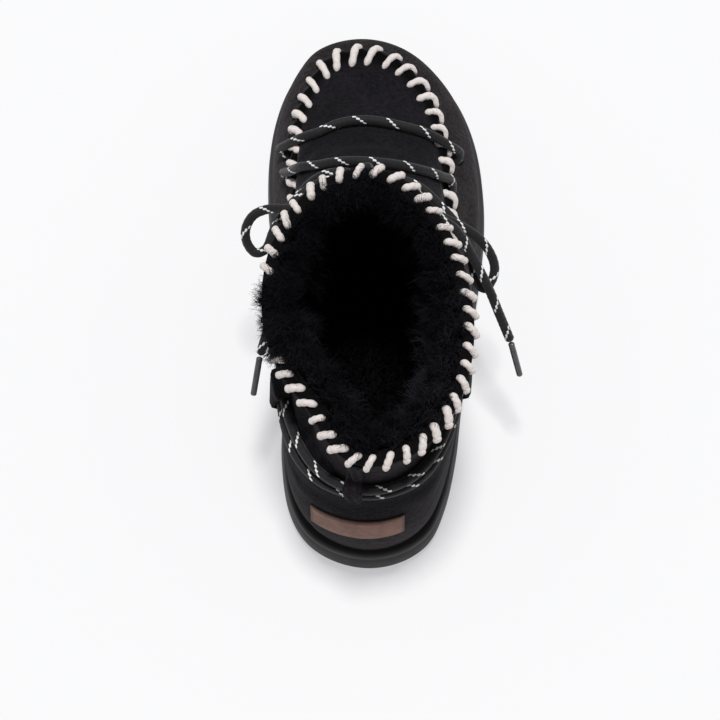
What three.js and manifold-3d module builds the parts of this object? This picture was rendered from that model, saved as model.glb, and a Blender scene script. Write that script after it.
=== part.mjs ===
// Lace-up moccasin ankle boot for the right foot: suede upper, apron toe, shearling lining, foam sole.
// Millimetres. +Y points to the toe, +X to the little toe (lateral side), +Z up. The floor is z = 0.
import * as THREE from "three";
import { mergeVertices } from "three/addons/utils/BufferGeometryUtils.js";
import Module from "manifold-3d";

const wasm = await Module();
wasm.setup();

// Driving dimensions
const LENGTH = 270; // sole, heel to toe
const GAP = 0.3; // between pieces that touch
const WALL = 2.6; // suede of the upper
const HEEL_THICKNESS = 20;
const BALL_THICKNESS = 16;
const TOE_SPRING = 9;
const TOE_BREAK = 78; // y where the sole starts to lift
const WAIST_LIFT = 2.5; // hollow under the arch
const FUR_PILE = 8; // depth of the shearling inside the collar
const LACE = 4.4; // lace diameter
const UPPER_COLUMNS = 48; // points round each ring of the upper
const SOLE_COLUMNS = 64; // points round the sole

// Plan of the sole: a row for each section. along is the share of the length from the heel,
// medial and lateral are x at the big-toe side and at the little-toe side.
const SOLE_SECTIONS = [
  { along: 0.0, medial: -3.5, lateral: -3.5 },
  { along: 0.037, medial: -31.0, lateral: 22.6 },
  { along: 0.1, medial: -41.5, lateral: 31.8 },
  { along: 0.2, medial: -45.6, lateral: 38.0 },
  { along: 0.3, medial: -45.2, lateral: 41.2 },
  { along: 0.45, medial: -46.2, lateral: 47.2 },
  { along: 0.6, medial: -51.2, lateral: 52.9 },
  { along: 0.7, medial: -53.8, lateral: 53.8 },
  { along: 0.8, medial: -53.3, lateral: 50.6 },
  { along: 0.88, medial: -48.8, lateral: 43.0 },
  { along: 0.94, medial: -41.0, lateral: 31.2 },
  { along: 0.98, medial: -30.6, lateral: 16.8 },
  { along: 1.0, medial: -7.0, lateral: -7.0 },
];

// Rings of the upper from the feather line to the collar: a row for each contour.
// back and front are y at the centre line, with heights above the sole's top; climb bends the way
// between them. rear and fore are half widths at the heel and at the ball, and swing shifts the ball
// to the big-toe side. oval turns the foot's plan (0) into the shaft's oval (1), half as wide as shaft.
const RINGS = [
  {
    back: -131.0, front: 130.5, backRise: GAP, frontRise: GAP, climb: 1,
    rear: 37.6, fore: 49.6, swing: 0, oval: 0, shaft: 40,
  },
  {
    back: -133.0, front: 131.0, backRise: 14, frontRise: 11, climb: 2,
    rear: 40.0, fore: 50.0, swing: 0.3, oval: 0, shaft: 40,
  },
  {
    back: -132.6, front: 126.5, backRise: 27, frontRise: 21, climb: 3,
    rear: 40.4, fore: 44.6, swing: 1.4, oval: 0, shaft: 40,
  },
  {
    back: -130.6, front: 117.0, backRise: 40, frontRise: 27, climb: 4,
    rear: 40.4, fore: 36.0, swing: 2.6, oval: 0, shaft: 40,
  },
  {
    back: -128.8, front: 101.0, backRise: 48, frontRise: 34, climb: 3,
    rear: 40.2, fore: 34.6, swing: 3.0, oval: 0, shaft: 40,
  },
  {
    back: -127.4, front: 81.0, backRise: 55, frontRise: 42, climb: 2.5,
    rear: 39.8, fore: 35.0, swing: 3.2, oval: 0.05, shaft: 40,
  },
  {
    back: -126.2, front: 61.0, backRise: 62, frontRise: 51.5, climb: 2,
    rear: 39.4, fore: 35.6, swing: 3.4, oval: 0.2, shaft: 39.5,
  },
  {
    back: -125.2, front: 43.0, backRise: 69, frontRise: 63, climb: 1.6,
    rear: 39.0, fore: 36.4, swing: 3.6, oval: 0.45, shaft: 39,
  },
  {
    back: -124.6, front: 25.5, backRise: 76, frontRise: 75.5, climb: 1.3,
    rear: 38.6, fore: 37.0, swing: 3.8, oval: 0.75, shaft: 39,
  },
  {
    back: -124.3, front: 14.0, backRise: 84, frontRise: 90.5, climb: 1.1,
    rear: 39, fore: 38, swing: 4, oval: 1, shaft: 40.2,
  },
  {
    back: -124.3, front: 8.0, backRise: 92, frontRise: 109, climb: 1,
    rear: 40, fore: 40, swing: 4, oval: 1, shaft: 42.4,
  },
  {
    back: -124.8, front: 4.5, backRise: 100, frontRise: 129, climb: 1,
    rear: 41, fore: 41, swing: 4, oval: 1, shaft: 45,
  },
];
const SEAM = 3; // the ring that carries the raised apron seam
const COLLAR = RINGS.length - 1;
const SEAM_RIDGE = { height: 2.4, spread: 0.24, from: 0.56, full: 0.66 };
const COLLAR_ROLL = { out: 1.3, in: 3.4, crown: 1.7, spread: 0.2 }; // thick bound edge of the collar
const SHAFT_CENTRE = -4.6; // x of the shaft's middle
const COLLAR_TURN = THREE.MathUtils.degToRad(7); // the slack shaft is twisted towards the big toe
const COLLAR_SLACK = { depth: 7, at: -0.82, spread: 0.44 }; // dent at the back of the big-toe side

const { lerp, smoothstep } = THREE.MathUtils;

// Curves

// Cubic through the points (xs, ys) with the slope of the neighbours at each point.
function cubicThrough(xs, ys, x) {
  const last = xs.length - 1;
  let i = 0;
  while (i < last - 1 && x > xs[i + 1]) i += 1;
  const slope = (k) => {
    const a = Math.max(k - 1, 0);
    const b = Math.min(k + 1, last);
    return (ys[b] - ys[a]) / (xs[b] - xs[a]);
  };
  const span = xs[i + 1] - xs[i];
  const t = (x - xs[i]) / span;
  const t2 = t * t;
  const t3 = t2 * t;
  return (
    ys[i] * (2 * t3 - 3 * t2 + 1) +
    slope(i) * span * (t3 - 2 * t2 + t) +
    ys[i + 1] * (3 * t2 - 2 * t3) +
    slope(i + 1) * span * (t3 - t2)
  );
}

const turnAt = (along) => Math.acos(1 - 2 * along); // angle round the outline, 0 heel to pi toe
const alongAt = (turn) => (1 - Math.cos(turn)) / 2;

// The sole's outline as x against the turn: lateral side from 0 to pi, medial side from 0 to -pi.
// One more section past heel and toe, from the other side, keeps both tips round.
function sideCurve(side, other) {
  const rows = SOLE_SECTIONS;
  const last = rows.length - 1;
  const turns = rows.map((r) => turnAt(r.along));
  const xs = [-turns[1], ...turns, 2 * Math.PI - turns[last - 1]];
  const ys = [rows[1][other], ...rows.map((r) => r[side]), rows[last - 1][other]];
  return (turn) => cubicThrough(xs, ys, turn);
}
const lateralEdge = sideCurve("lateral", "medial");
const medialEdge = sideCurve("medial", "lateral");
const soleHalf = (turn) => (lateralEdge(turn) - medialEdge(turn)) / 2;
const soleCentre = (turn) => (lateralEdge(turn) + medialEdge(turn)) / 2;

// Underside and top of the sole along the foot.
function toeLift(y) {
  return TOE_SPRING * (Math.max(y - TOE_BREAK, 0) / (LENGTH / 2 - TOE_BREAK)) ** 2;
}
function soleBottom(y) {
  const waist = WAIST_LIFT * smoothstep(y, -52, -24) * (1 - smoothstep(y, -8, 18));
  return toeLift(y) + waist;
}
function soleTop(y) {
  return toeLift(y) + lerp(HEEL_THICKNESS, BALL_THICKNESS, smoothstep(y, -70, 50));
}

// One ring of the upper, worked out between the rows of RINGS.
const RING_NUMBERS = RINGS.map((_, i) => i);
function ringAt(level) {
  const ring = {};
  for (const name of Object.keys(RINGS[0])) {
    ring[name] = cubicThrough(RING_NUMBERS, RINGS.map((r) => r[name]), level);
  }
  return ring;
}

const HEEL_TURN = turnAt(0.2);
const BALL_TURN = turnAt(0.7);

// Outer face of the upper without its ridges. turn runs from -pi to pi, 0 at the back seam,
// positive on the lateral side; level is a ring number, 0 at the sole.
function upperFace(turn, level) {
  const ring = ringAt(level);
  const side = turn < 0 ? -1 : 1;
  const round = Math.abs(turn);
  const along = alongAt(round);
  const forward = smoothstep(along, 0.2, 0.7);
  const width = lerp(ring.rear / soleHalf(HEEL_TURN), ring.fore / soleHalf(BALL_TURN), forward);
  const swing = ring.swing * forward * (1 - smoothstep(along, 0.8, 1));
  const footX = soleCentre(round) - swing + side * soleHalf(round) * width;
  const y = lerp(ring.back, ring.front, along);
  const ovalX = SHAFT_CENTRE + side * ring.shaft * Math.sin(round);
  const point = new THREE.Vector3(lerp(footX, ovalX, ring.oval), y, 0);

  // The slack shaft: twisted a little, and dented at the back of the medial side.
  const slack = smoothstep(level, COLLAR - 4, COLLAR);
  const middleY = (ring.back + ring.front) / 2;
  const twist = COLLAR_TURN * slack;
  const dx = point.x - SHAFT_CENTRE;
  const dy = point.y - middleY;
  point.x = SHAFT_CENTRE + dx * Math.cos(twist) - dy * Math.sin(twist) * Math.sin(round);
  point.y = middleY + dy * Math.cos(twist) + dx * Math.sin(twist) * Math.sin(round);
  const offSlack = (turn - COLLAR_SLACK.at) / COLLAR_SLACK.spread;
  const dent = COLLAR_SLACK.depth * slack * Math.exp(-(offSlack ** 2));
  const reach = Math.hypot(dx, dy);
  point.x -= (dent * dx) / reach;
  point.y -= (dent * dy) / reach;

  point.z = soleTop(y) + ring.backRise + (ring.frontRise - ring.backRise) * along ** ring.climb;
  return point;
}

function upperNormal(turn, level) {
  const step = 0.02;
  const low = Math.max(level - step, 0);
  const high = Math.min(level + step, COLLAR);
  const around = upperFace(turn + step, level).sub(upperFace(turn - step, level));
  const up = upperFace(turn, high).sub(upperFace(turn, low));
  return around.cross(up).normalize();
}

// A point off the upper's face: positive out, negative in.
function offUpper(turn, level, out) {
  return upperFace(turn, level).addScaledVector(upperNormal(turn, level), out);
}

// How far the pinched apron seam and the bound collar stand proud of the face.
const rollAt = (level) => Math.exp(-(((level - COLLAR) / COLLAR_ROLL.spread) ** 2));
function ridgeAt(turn, level) {
  const along = alongAt(Math.abs(turn));
  const seam = SEAM_RIDGE.height * Math.exp(-(((level - SEAM) / SEAM_RIDGE.spread) ** 2));
  return seam * smoothstep(along, SEAM_RIDGE.from, SEAM_RIDGE.full) + COLLAR_ROLL.out * rollAt(level);
}
// Depth of the wall's inner face, thicker at the collar.
const wallAt = (level) => WALL + COLLAR_ROLL.in * rollAt(level);

// Meshes

const around = (columns) =>
  Array.from({ length: columns }, (_, i) => -Math.PI + (2 * Math.PI * i) / columns);

// A geometry from a list of points and a list of triangles.
function geometryOf(points, triangles) {
  const geometry = new THREE.BufferGeometry().setFromPoints(points);
  geometry.setIndex(triangles);
  geometry.computeVertexNormals();
  return geometry;
}

// A tube-like wall closed on itself: rings run up the outside and down the inside.
function ringWall(rings) {
  const columns = rings[0].length;
  const triangles = [];
  rings.forEach((_, r) => {
    const next = (r + 1) % rings.length;
    for (let c = 0; c < columns; c += 1) {
      const d = (c + 1) % columns;
      const [a, b, e, f] = [r * columns + c, r * columns + d, next * columns + c, next * columns + d];
      triangles.push(a, b, f, a, f, e);
    }
  });
  return geometryOf(rings.flat(), triangles);
}

// A closed form from rings with the same number of points, closed at both ends by strips across.
function ringBlock(rings) {
  const columns = rings[0].length;
  const triangles = [];
  for (let r = 0; r < rings.length - 1; r += 1) {
    for (let c = 0; c < columns; c += 1) {
      const d = (c + 1) % columns;
      const [a, b, e, f] = [r * columns + c, r * columns + d, (r + 1) * columns + c, (r + 1) * columns + d];
      triangles.push(a, b, f, a, f, e);
    }
  }
  const cap = (first, flip) => {
    for (let c = 0; c < columns / 2; c += 1) {
      const left = first + c;
      const right = first + ((columns - c) % columns);
      const nextLeft = first + c + 1;
      const nextRight = first + columns - c - 1;
      const faces = [];
      if (right !== left) faces.push([left, right, nextLeft]);
      if (nextLeft !== nextRight) faces.push([right, nextRight, nextLeft]);
      faces.forEach(([a, b, d]) => triangles.push(...(flip ? [a, d, b] : [a, b, d])));
    }
  };
  cap(0, false);
  cap((rings.length - 1) * columns, true);
  return geometryOf(rings.flat(), triangles);
}

// A thin patch with thickness: two grids of points, the upper one outside.
function patchBlock(outer, inner) {
  const rows = outer.length;
  const columns = outer[0].length;
  const loop = [];
  for (let c = 0; c < columns; c += 1) loop.push([0, c]);
  for (let r = 1; r < rows; r += 1) loop.push([r, columns - 1]);
  for (let c = columns - 2; c >= 0; c -= 1) loop.push([rows - 1, c]);
  for (let r = rows - 2; r > 0; r -= 1) loop.push([r, 0]);
  const base = rows * columns;
  const at = (r, c) => r * columns + c;
  const triangles = [];
  for (let r = 0; r < rows - 1; r += 1) {
    for (let c = 0; c < columns - 1; c += 1) {
      const [a, b, d, e] = [at(r, c), at(r, c + 1), at(r + 1, c), at(r + 1, c + 1)];
      triangles.push(a, b, e, a, e, d);
      triangles.push(base + a, base + e, base + b, base + a, base + d, base + e);
    }
  }
  loop.forEach(([r, c], i) => {
    const [r2, c2] = loop[(i + 1) % loop.length];
    const [a, b] = [at(r, c), at(r2, c2)];
    triangles.push(a, base + a, b, b, base + a, base + b);
  });
  return geometryOf([...outer.flat(), ...inner.flat()], triangles);
}

// A round cord along a smooth curve through the points.
function cordAlong(points, diameter, steps) {
  const sides = 8;
  const section = new THREE.Shape(
    around(sides).map((a) => new THREE.Vector2(Math.cos(a), Math.sin(a)).multiplyScalar(diameter / 2)),
  );
  const path = new THREE.CatmullRomCurve3(points, false, "centripetal");
  return new THREE.ExtrudeGeometry(section, { steps, bevelEnabled: false, extrudePath: path });
}

function solidFrom(geometry) {
  const bare = new THREE.BufferGeometry();
  bare.setAttribute("position", geometry.getAttribute("position"));
  bare.setIndex(geometry.index);
  const merged = mergeVertices(bare, 1e-3);
  return new wasm.Manifold(
    new wasm.Mesh({
      numProp: 3,
      vertProperties: new Float32Array(merged.getAttribute("position").array),
      triVerts: new Uint32Array(merged.index.array),
    }),
  );
}

function geometryFrom(solid) {
  const mesh = solid.getMesh();
  const geometry = new THREE.BufferGeometry();
  geometry.setAttribute("position", new THREE.BufferAttribute(new Float32Array(mesh.vertProperties), 3));
  geometry.setIndex(new THREE.BufferAttribute(new Uint32Array(mesh.triVerts), 1));
  geometry.computeVertexNormals();
  return geometry;
}

const boot = new THREE.Group();
function add(name, geometry, material) {
  const mesh = new THREE.Mesh(geometry, material);
  mesh.name = name;
  boot.add(mesh);
}

// Materials
const suede = new THREE.MeshStandardMaterial({ color: 0x1b1a1d, roughness: 0.95 });
const foam = new THREE.MeshStandardMaterial({ color: 0x2c2b2e, roughness: 0.75 });
const shearling = new THREE.MeshStandardMaterial({ color: 0x0b0b0d, roughness: 1 });
const braid = new THREE.MeshStandardMaterial({ color: 0x1d1c1f, roughness: 0.85 });
const leather = new THREE.MeshStandardMaterial({ color: 0x66493f, roughness: 0.7 });
const plastic = new THREE.MeshStandardMaterial({ color: 0x565357, roughness: 0.4 });

// Sole

// Side of the sole from floor to lip: height as a share of the thickness, and how far it is set in.
const SOLE_SIDE = [
  { share: 0.0, inset: 3.2 },
  { share: 0.1, inset: 0.9 },
  { share: 0.28, inset: 0.0 },
  { share: 0.62, inset: 0.5 },
  { share: 0.68, inset: 1.7 },
  { share: 0.76, inset: 1.7 },
  { share: 0.82, inset: 0.8 },
  { share: 0.93, inset: 1.0 },
  { share: 1.0, inset: 2.0 },
];
const TREAD = { depth: 2.6, width: 3.4, rim: 8, forefoot: [22, 104, 9], heel: [-118, -60, 6] };

// A point of the sole's outline, set in by inset along the outline's own normal.
function soleEdge(turn, inset) {
  const place = (t) => {
    const x = t < 0 ? medialEdge(-t) : lateralEdge(t);
    return new THREE.Vector2(x, -(LENGTH / 2) * Math.cos(t));
  };
  const step = 0.01;
  const tangent = place(turn + step).sub(place(turn - step)).normalize();
  return place(turn).add(new THREE.Vector2(-tangent.y, tangent.x).multiplyScalar(inset));
}

function makeSole() {
  const rings = SOLE_SIDE.map(({ share, inset }) =>
    around(SOLE_COLUMNS).map((turn) => {
      const edge = soleEdge(turn, inset);
      return new THREE.Vector3(edge.x, edge.y, lerp(soleBottom(edge.y), soleTop(edge.y), share));
    }),
  );
  let sole = solidFrom(ringBlock(rings));
  for (const [from, to, count] of [TREAD.forefoot, TREAD.heel]) {
    for (let i = 0; i < count; i += 1) {
      const y = lerp(from, to, i / (count - 1));
      const turn = turnAt(y / LENGTH + 0.5);
      const low = medialEdge(turn) + TREAD.rim;
      const high = lateralEdge(turn) - TREAD.rim;
      const groove = new THREE.BoxGeometry(high - low, TREAD.width, 2 * TREAD.depth);
      groove.translate((low + high) / 2, y, soleBottom(y));
      sole = sole.subtract(solidFrom(groove));
    }
  }
  return geometryFrom(sole);
}
add("outsole", makeSole(), foam);

// Upper

const OUTER_LEVELS = [
  0, 0.5, 1, 1.6, 2.2, 2.6, 2.8, 3, 3.2, 3.45, 4, 4.6,
  5.3, 6, 6.7, 7.4, 8, 8.7, 9.4, 10.1, 10.6, 10.85, 11,
];
const INNER_LEVELS = [0, 0.6, 1.3, 2.1, 3, 4, 5, 6, 7, 8, 9, 10, 10.5, 10.75, 11];
const turns = around(UPPER_COLUMNS);

// Lace holes through the wall: a pair for each bar, and a pair in front of the ankle for the wrap.
const LACE_HOLES = [
  { turn: 2.09, level: 2.3 },
  { turn: -2.12, level: 2.4 },
  { turn: 1.93, level: 2.66 },
  { turn: -2.0, level: 2.55 },
  { turn: 2.45, level: 8.4 },
  { turn: -2.45, level: 7.85 },
];
const HOLE = LACE + 1.4;

// The turn that takes a cylinder's own axis to a direction.
function aimedAlong(direction) {
  return new THREE.Quaternion().setFromUnitVectors(new THREE.Vector3(0, 1, 0), direction);
}

function makeUpper() {
  const ring = (level, out) => turns.map((turn) => offUpper(turn, level, out(turn, level)));
  const outer = OUTER_LEVELS.map((level) => ring(level, ridgeAt));
  const inner = INNER_LEVELS.map((level) => ring(level, () => -wallAt(level)));
  const crown = turns.map((turn) => offUpper(turn, COLLAR, (COLLAR_ROLL.out - wallAt(COLLAR)) / 2));
  crown.forEach((point) => {
    point.z += COLLAR_ROLL.crown;
  });
  // Both edges are cut square: the inner edge keeps the outer edge's height.
  turns.forEach((turn, c) => {
    inner[0][c].z = soleTop(inner[0][c].y) + GAP;
  });
  let upper = solidFrom(ringWall([...outer, crown, ...inner.reverse()]));
  for (const { turn, level } of LACE_HOLES) {
    const at = upperFace(turn, level);
    const drill = new THREE.CylinderGeometry(HOLE / 2, HOLE / 2, 12, 12);
    drill.applyQuaternion(aimedAlong(upperNormal(turn, level))).translate(at.x, at.y, at.z);
    upper = upper.subtract(solidFrom(drill));
  }
  return geometryFrom(upper);
}
add("upper", makeUpper(), suede);

// Insole

const INSOLE = { thickness: 4, columns: 40, margin: 0.8 };

function makeInsole() {
  const ring = (rise) =>
    around(INSOLE.columns).map((turn) => {
      const point = offUpper(turn, 0, -(WALL + INSOLE.margin));
      point.z = soleTop(point.y) + GAP + rise;
      return point;
    });
  return ringBlock([ring(0), ring(INSOLE.thickness)]);
}
add("insole", makeInsole(), shearling);

// Shearling lining: a sleeve inside the shaft, proud of the collar, with locks of fur fused on

const LINING = { columns: 28, foot: 7.0, rise: 5.5, lump: 1.4, clear: 0.5 };
const LOCKS = { count: 22, length: 9.5, root: 4.2, tip: 1.0, sides: 4 };
const lumpAt = (turn, level) =>
  LINING.lump * Math.sin(5 * turn + 2 * level) * Math.sin(3 * turn - 1.7 * level);

function makeLining() {
  const columns = around(LINING.columns);
  const inset = (turn, level, depth) => offUpper(turn, level, -(wallAt(level) + LINING.clear + depth));
  const ring = (level, depth) => columns.map((turn) => inset(turn, level, depth));
  const top = (depth, rise) =>
    columns.map((turn) => {
      const point = inset(turn, COLLAR, depth);
      point.z += rise + 0.6 * lumpAt(turn, COLLAR);
      return point;
    });
  const face = (level) => columns.map((turn) => inset(turn, level, FUR_PILE * 0.85 + lumpAt(turn, level)));
  const outside = [LINING.foot, 8, 9, 10, 10.5, 10.75, COLLAR].map((level) => ring(level, 0));
  const rim = [
    top(0.6, 0.7 * LINING.rise),
    top(FUR_PILE * 0.4, LINING.rise),
    top(FUR_PILE * 0.75, 0.6 * LINING.rise),
  ];
  const inside = [10.4, 9.4, 8.4, 7.6].map(face);
  let fur = solidFrom(ringWall([...outside, ...rim, ...inside, ring(LINING.foot, FUR_PILE * 0.5)]));
  for (let i = 0; i < LOCKS.count; i += 1) {
    const turn = -Math.PI + (2 * Math.PI * (i + 0.3 * Math.sin(7 * i))) / LOCKS.count;
    const root = inset(turn, COLLAR, FUR_PILE * (0.4 + 0.15 * Math.sin(5 * i)));
    root.z += 0.5 * LINING.rise;
    // Locks fall inwards all round, and outwards over the big-toe side of the collar.
    const spill = Math.exp(-(((turn + 1.6) / 0.55) ** 2));
    const outward = lerp(-0.75, 0.85, spill) + 0.25 * Math.sin(3 * i);
    const lean = upperNormal(turn, COLLAR).multiplyScalar(outward);
    lean.z = lerp(0.8, 0.75, spill);
    const lock = new THREE.CylinderGeometry(LOCKS.tip, LOCKS.root, LOCKS.length, LOCKS.sides);
    lock.translate(0, LOCKS.length / 2 - 2, 0);
    lock.applyQuaternion(aimedAlong(lean.normalize()));
    lock.translate(root.x, root.y, root.z);
    fur = fur.add(solidFrom(lock));
  }
  return geometryFrom(fur);
}
add("shearling_lining", makeLining(), shearling);

// Heel label: a bare leather patch that follows the heel

const LABEL = { from: -0.385, to: 0.225, low: 1.72, high: 3.02, tilt: 0.35, thickness: 1.2 };

function makeLabel() {
  const grid = (out) =>
    [0, 0.33, 0.67, 1].map((up) =>
      Array.from({ length: 9 }, (_, c) => {
        const turn = lerp(LABEL.from, LABEL.to, c / 8);
        return offUpper(turn, lerp(LABEL.low, LABEL.high, up) + LABEL.tilt * (turn - LABEL.from), out);
      }),
    );
  return patchBlock(grid(GAP + LABEL.thickness), grid(GAP));
}
add("heel_label", makeLabel(), leather);

// Straps that hold the ankle wrap: one at the back, one on each side

// Each strand of the wrap as ring numbers: behind the ankle, and where it meets the knot in front.
// ramp is how soon a strap under the strand comes back to the upper.
const WRAP = {
  upper: { behind: 7.75, knot: 8.55, ramp: 0.12 },
  lower: { behind: 6.8, knot: 8.1, ramp: 0.5 },
  stand: 0.5,
};
const wrapLevel = (strand, turn) =>
  lerp(strand.behind, strand.knot, smoothstep(Math.abs(turn), 0.9, Math.PI));

// Standing height of a strap's inner face over the upper, by level: clear of the strands it holds.
const STRAP_RISE = LACE + WRAP.stand + 0.5;
function strapRise(level, turn, lowest) {
  const low = wrapLevel(lowest, turn) - 0.4;
  const high = wrapLevel(WRAP.upper, turn) + 0.45;
  const over = smoothstep(level, low - lowest.ramp, low) * (1 - smoothstep(level, high, high + 0.6));
  return GAP + STRAP_RISE * over;
}

// at is the strap's place: x for the strap behind, y for the straps on the sides.
const STRAPS = [
  {
    name: "pull_loop", side: 0, at: -10, half: 3.9,
    low: 7.24, high: 10.8, thickness: 2.2, holds: "upper",
  },
  {
    name: "lace_keeper_medial", side: -1, at: -77, half: 7.5,
    low: 5.8, high: 9.3, thickness: 1.8, holds: "lower",
  },
  {
    name: "lace_keeper_lateral", side: 1, at: -72, half: 7.5,
    low: 5.8, high: 9.3, thickness: 1.8, holds: "lower",
  },
];

const STRAP_ROWS = 13;

// The turn where the upper's face reaches a place on the given side, at one level.
function turnFor(side, place, level) {
  if (side !== 0) {
    const ring = ringAt(level);
    return side * turnAt((place - ring.back) / (ring.front - ring.back));
  }
  const step = 0.1;
  const middle = upperFace(0, level).x;
  return (step * (place - middle)) / (middle - upperFace(-step, level).x);
}

function makeStrap({ side, at, half, low, high, thickness, holds }) {
  const grid = (out) =>
    Array.from({ length: STRAP_ROWS }, (_, r) =>
      [-1, -0.4, 0.4, 1].map((across) => {
        const level = lerp(low, high, r / (STRAP_ROWS - 1));
        const turn = turnFor(side, at + half * (side < 0 ? -across : across), level);
        return offUpper(turn, level, strapRise(level, turn, WRAP[holds]) + out + ridgeAt(turn, level));
      }),
    );
  return patchBlock(grid(thickness), grid(0));
}
STRAPS.forEach((strap) => add(strap.name, makeStrap(strap), suede));

// Lace

// The two strands round the ankle: each leaves its hole on one side, passes behind and comes to the knot.
const WRAP_STEPS = 34;

function wrapStrand(strand, hole, end) {
  const points = Array.from({ length: WRAP_STEPS + 1 }, (_, i) => {
    const turn = lerp(hole, end, i / WRAP_STEPS);
    return offUpper(turn, wrapLevel(strand, turn), LACE / 2 + WRAP.stand);
  });
  return cordAlong(points, LACE, WRAP_STEPS);
}
add("lace_wrap_upper", wrapStrand(WRAP.upper, 2.35, -2.95), braid);
add("lace_wrap_lower", wrapStrand(WRAP.lower, -2.35, 2.95), braid);

// Routes of the free lengths, chosen by hand: the two bars over the apron, then the bow and its ends.
const ROUTES = {
  lace_bar_front: [
    [-46.7, 63.9, 47.5], [-42.3, 63.6, 54.6], [-35.1, 64, 61.2], [-28.1, 64.6, 64.9], [-19.7, 68.3, 66],
    [-11.4, 70.2, 66.3], [-3.2, 70.4, 66.3], [5, 69.2, 66], [14.3, 67.4, 65], [22.6, 66, 62.5],
    [28.8, 64.6, 59.1], [34.6, 62.7, 55.1], [40.4, 61.8, 47.8],
  ],
  lace_bar_rear: [
    [-44.7, 49.6, 50.5], [-41.7, 46.5, 59], [-36, 43.2, 71], [-28.9, 41.3, 76.4], [-21.5, 40.4, 81.2],
    [-13.4, 39.5, 84.6], [-5.3, 38.6, 86.2], [2.8, 38, 85.7], [10.9, 38.3, 82.7], [19.1, 38.7, 77.7],
    [26, 39.7, 71.8], [31.3, 41, 64.8], [35.6, 42.5, 57.5],
  ],
  lace_loop_left: [
    [-12.9, 20.9, 106.2], [-21.1, 11.8, 110.4], [-30.5, 6, 109.6], [-39.5, 5, 105.4], [-49.9, 6.8, 101],
    [-56.9, 5, 98], [-60.5, 0.1, 94], [-60, -5.2, 90], [-56.1, -9.1, 87.5], [-51.5, -7.5, 88],
    [-47.5, 1, 91.5], [-39.5, 12, 95.5], [-27.3, 20.6, 99], [-12.9, 24.4, 98.7],
  ],
  lace_loop_right: [
    [3.1, 20.9, 106.2], [10, 12, 110.4], [20, 4.5, 109.8], [30, 0.5, 105], [38, -1.5, 100.5],
    [45.5, -4.8, 96], [51, -9.5, 91.5], [53.9, -15.7, 87], [52.9, -20.9, 84], [49.6, -24.7, 82],
    [45.8, -22.5, 84], [43, -13, 90], [38, -1, 95], [31, 7.5, 97.5], [18.2, 19.2, 99.9], [3, 24.3, 99.6],
  ],
  lace_end_left: [
    [-11.9, 28.4, 95.2], [-23.5, 28.8, 92.5], [-33.8, 24.5, 85.7], [-42.3, 9.5, 79.9], [-43.6, -7.1, 77.9],
    [-45, -27.2, 79.1], [-50, -43, 79.5], [-53.9, -55.1, 75],
  ],
  lace_end_right: [
    [-2, 19.8, 113.4], [7, 12, 116.5], [17, 4, 117], [26.5, -3, 114.5], [34.5, -6.5, 109.5],
    [38.8, -9.2, 103.8], [42.2, -13.7, 98.5], [46.4, -20.4, 94.5],
    [51.2, -28.5, 89], [56.4, -37, 79], [61.7, -45.2, 68],
  ],
};
const ROUTE_STEPS = { lace_bar_front: 16, lace_bar_rear: 16, lace_end_left: 14, lace_end_right: 16 };
const LOOP_STEPS = 22;
const vectors = (route) => route.map((point) => new THREE.Vector3(...point));
for (const [name, route] of Object.entries(ROUTES)) {
  add(name, cordAlong(vectors(route), LACE, ROUTE_STEPS[name] ?? LOOP_STEPS), braid);
}

// Knot in front of the ankle
const KNOT = { at: [-5, 24.6, 102.5], radii: [7.2, 4.6, 5.6] };

function makeKnot() {
  const knot = new THREE.SphereGeometry(1, 12, 8);
  knot.scale(...KNOT.radii).translate(...KNOT.at);
  return knot;
}
add("lace_knot", makeKnot(), braid);

// Aglets: stiff tips that carry on the line of each end
const AGLET = { diameter: 3, length: 19 };
const AGLET_TIPS = { left: [-57.5, -71.6, 62], right: [65.6, -54, 56] };

function makeAglet(side) {
  const end = new THREE.Vector3(...ROUTES[`lace_end_${side}`].at(-1));
  const line = new THREE.Vector3(...AGLET_TIPS[side]).sub(end).normalize();
  const aglet = new THREE.CylinderGeometry(AGLET.diameter / 2, AGLET.diameter / 2, AGLET.length, 10);
  aglet.translate(0, AGLET.length / 2 + 2 * GAP, 0);
  aglet.applyQuaternion(new THREE.Quaternion().setFromUnitVectors(new THREE.Vector3(0, 1, 0), line));
  return aglet.translate(end.x, end.y, end.z);
}
["left", "right"].forEach((side) => add(`aglet_${side}`, makeAglet(side), plastic));

export default boot;
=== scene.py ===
"""Looks for a lace-up moccasin boot: suede, whip stitches, shearling, braided lace and a foam sole.

Sizes are in millimetres in the boot's own frame (+Y toe, +X little-toe side, +Z up) until a mesh is made.
"""

import math

import bmesh
import bpy
import numpy as np
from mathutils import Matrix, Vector


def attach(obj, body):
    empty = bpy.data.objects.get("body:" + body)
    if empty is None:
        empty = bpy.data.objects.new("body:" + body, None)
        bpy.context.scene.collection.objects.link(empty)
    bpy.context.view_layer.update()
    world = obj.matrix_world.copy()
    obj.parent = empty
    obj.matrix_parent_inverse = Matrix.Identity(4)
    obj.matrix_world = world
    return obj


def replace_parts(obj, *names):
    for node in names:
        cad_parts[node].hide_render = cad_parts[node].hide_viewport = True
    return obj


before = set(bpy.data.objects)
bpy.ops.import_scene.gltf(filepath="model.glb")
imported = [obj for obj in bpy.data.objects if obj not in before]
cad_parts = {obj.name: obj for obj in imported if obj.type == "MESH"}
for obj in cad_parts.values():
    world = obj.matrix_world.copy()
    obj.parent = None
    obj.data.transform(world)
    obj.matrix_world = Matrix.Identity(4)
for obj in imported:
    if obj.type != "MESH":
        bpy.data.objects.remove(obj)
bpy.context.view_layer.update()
MM = 0.001
PI = math.pi
rng = np.random.default_rng(11)
scene = bpy.context.scene

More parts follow.
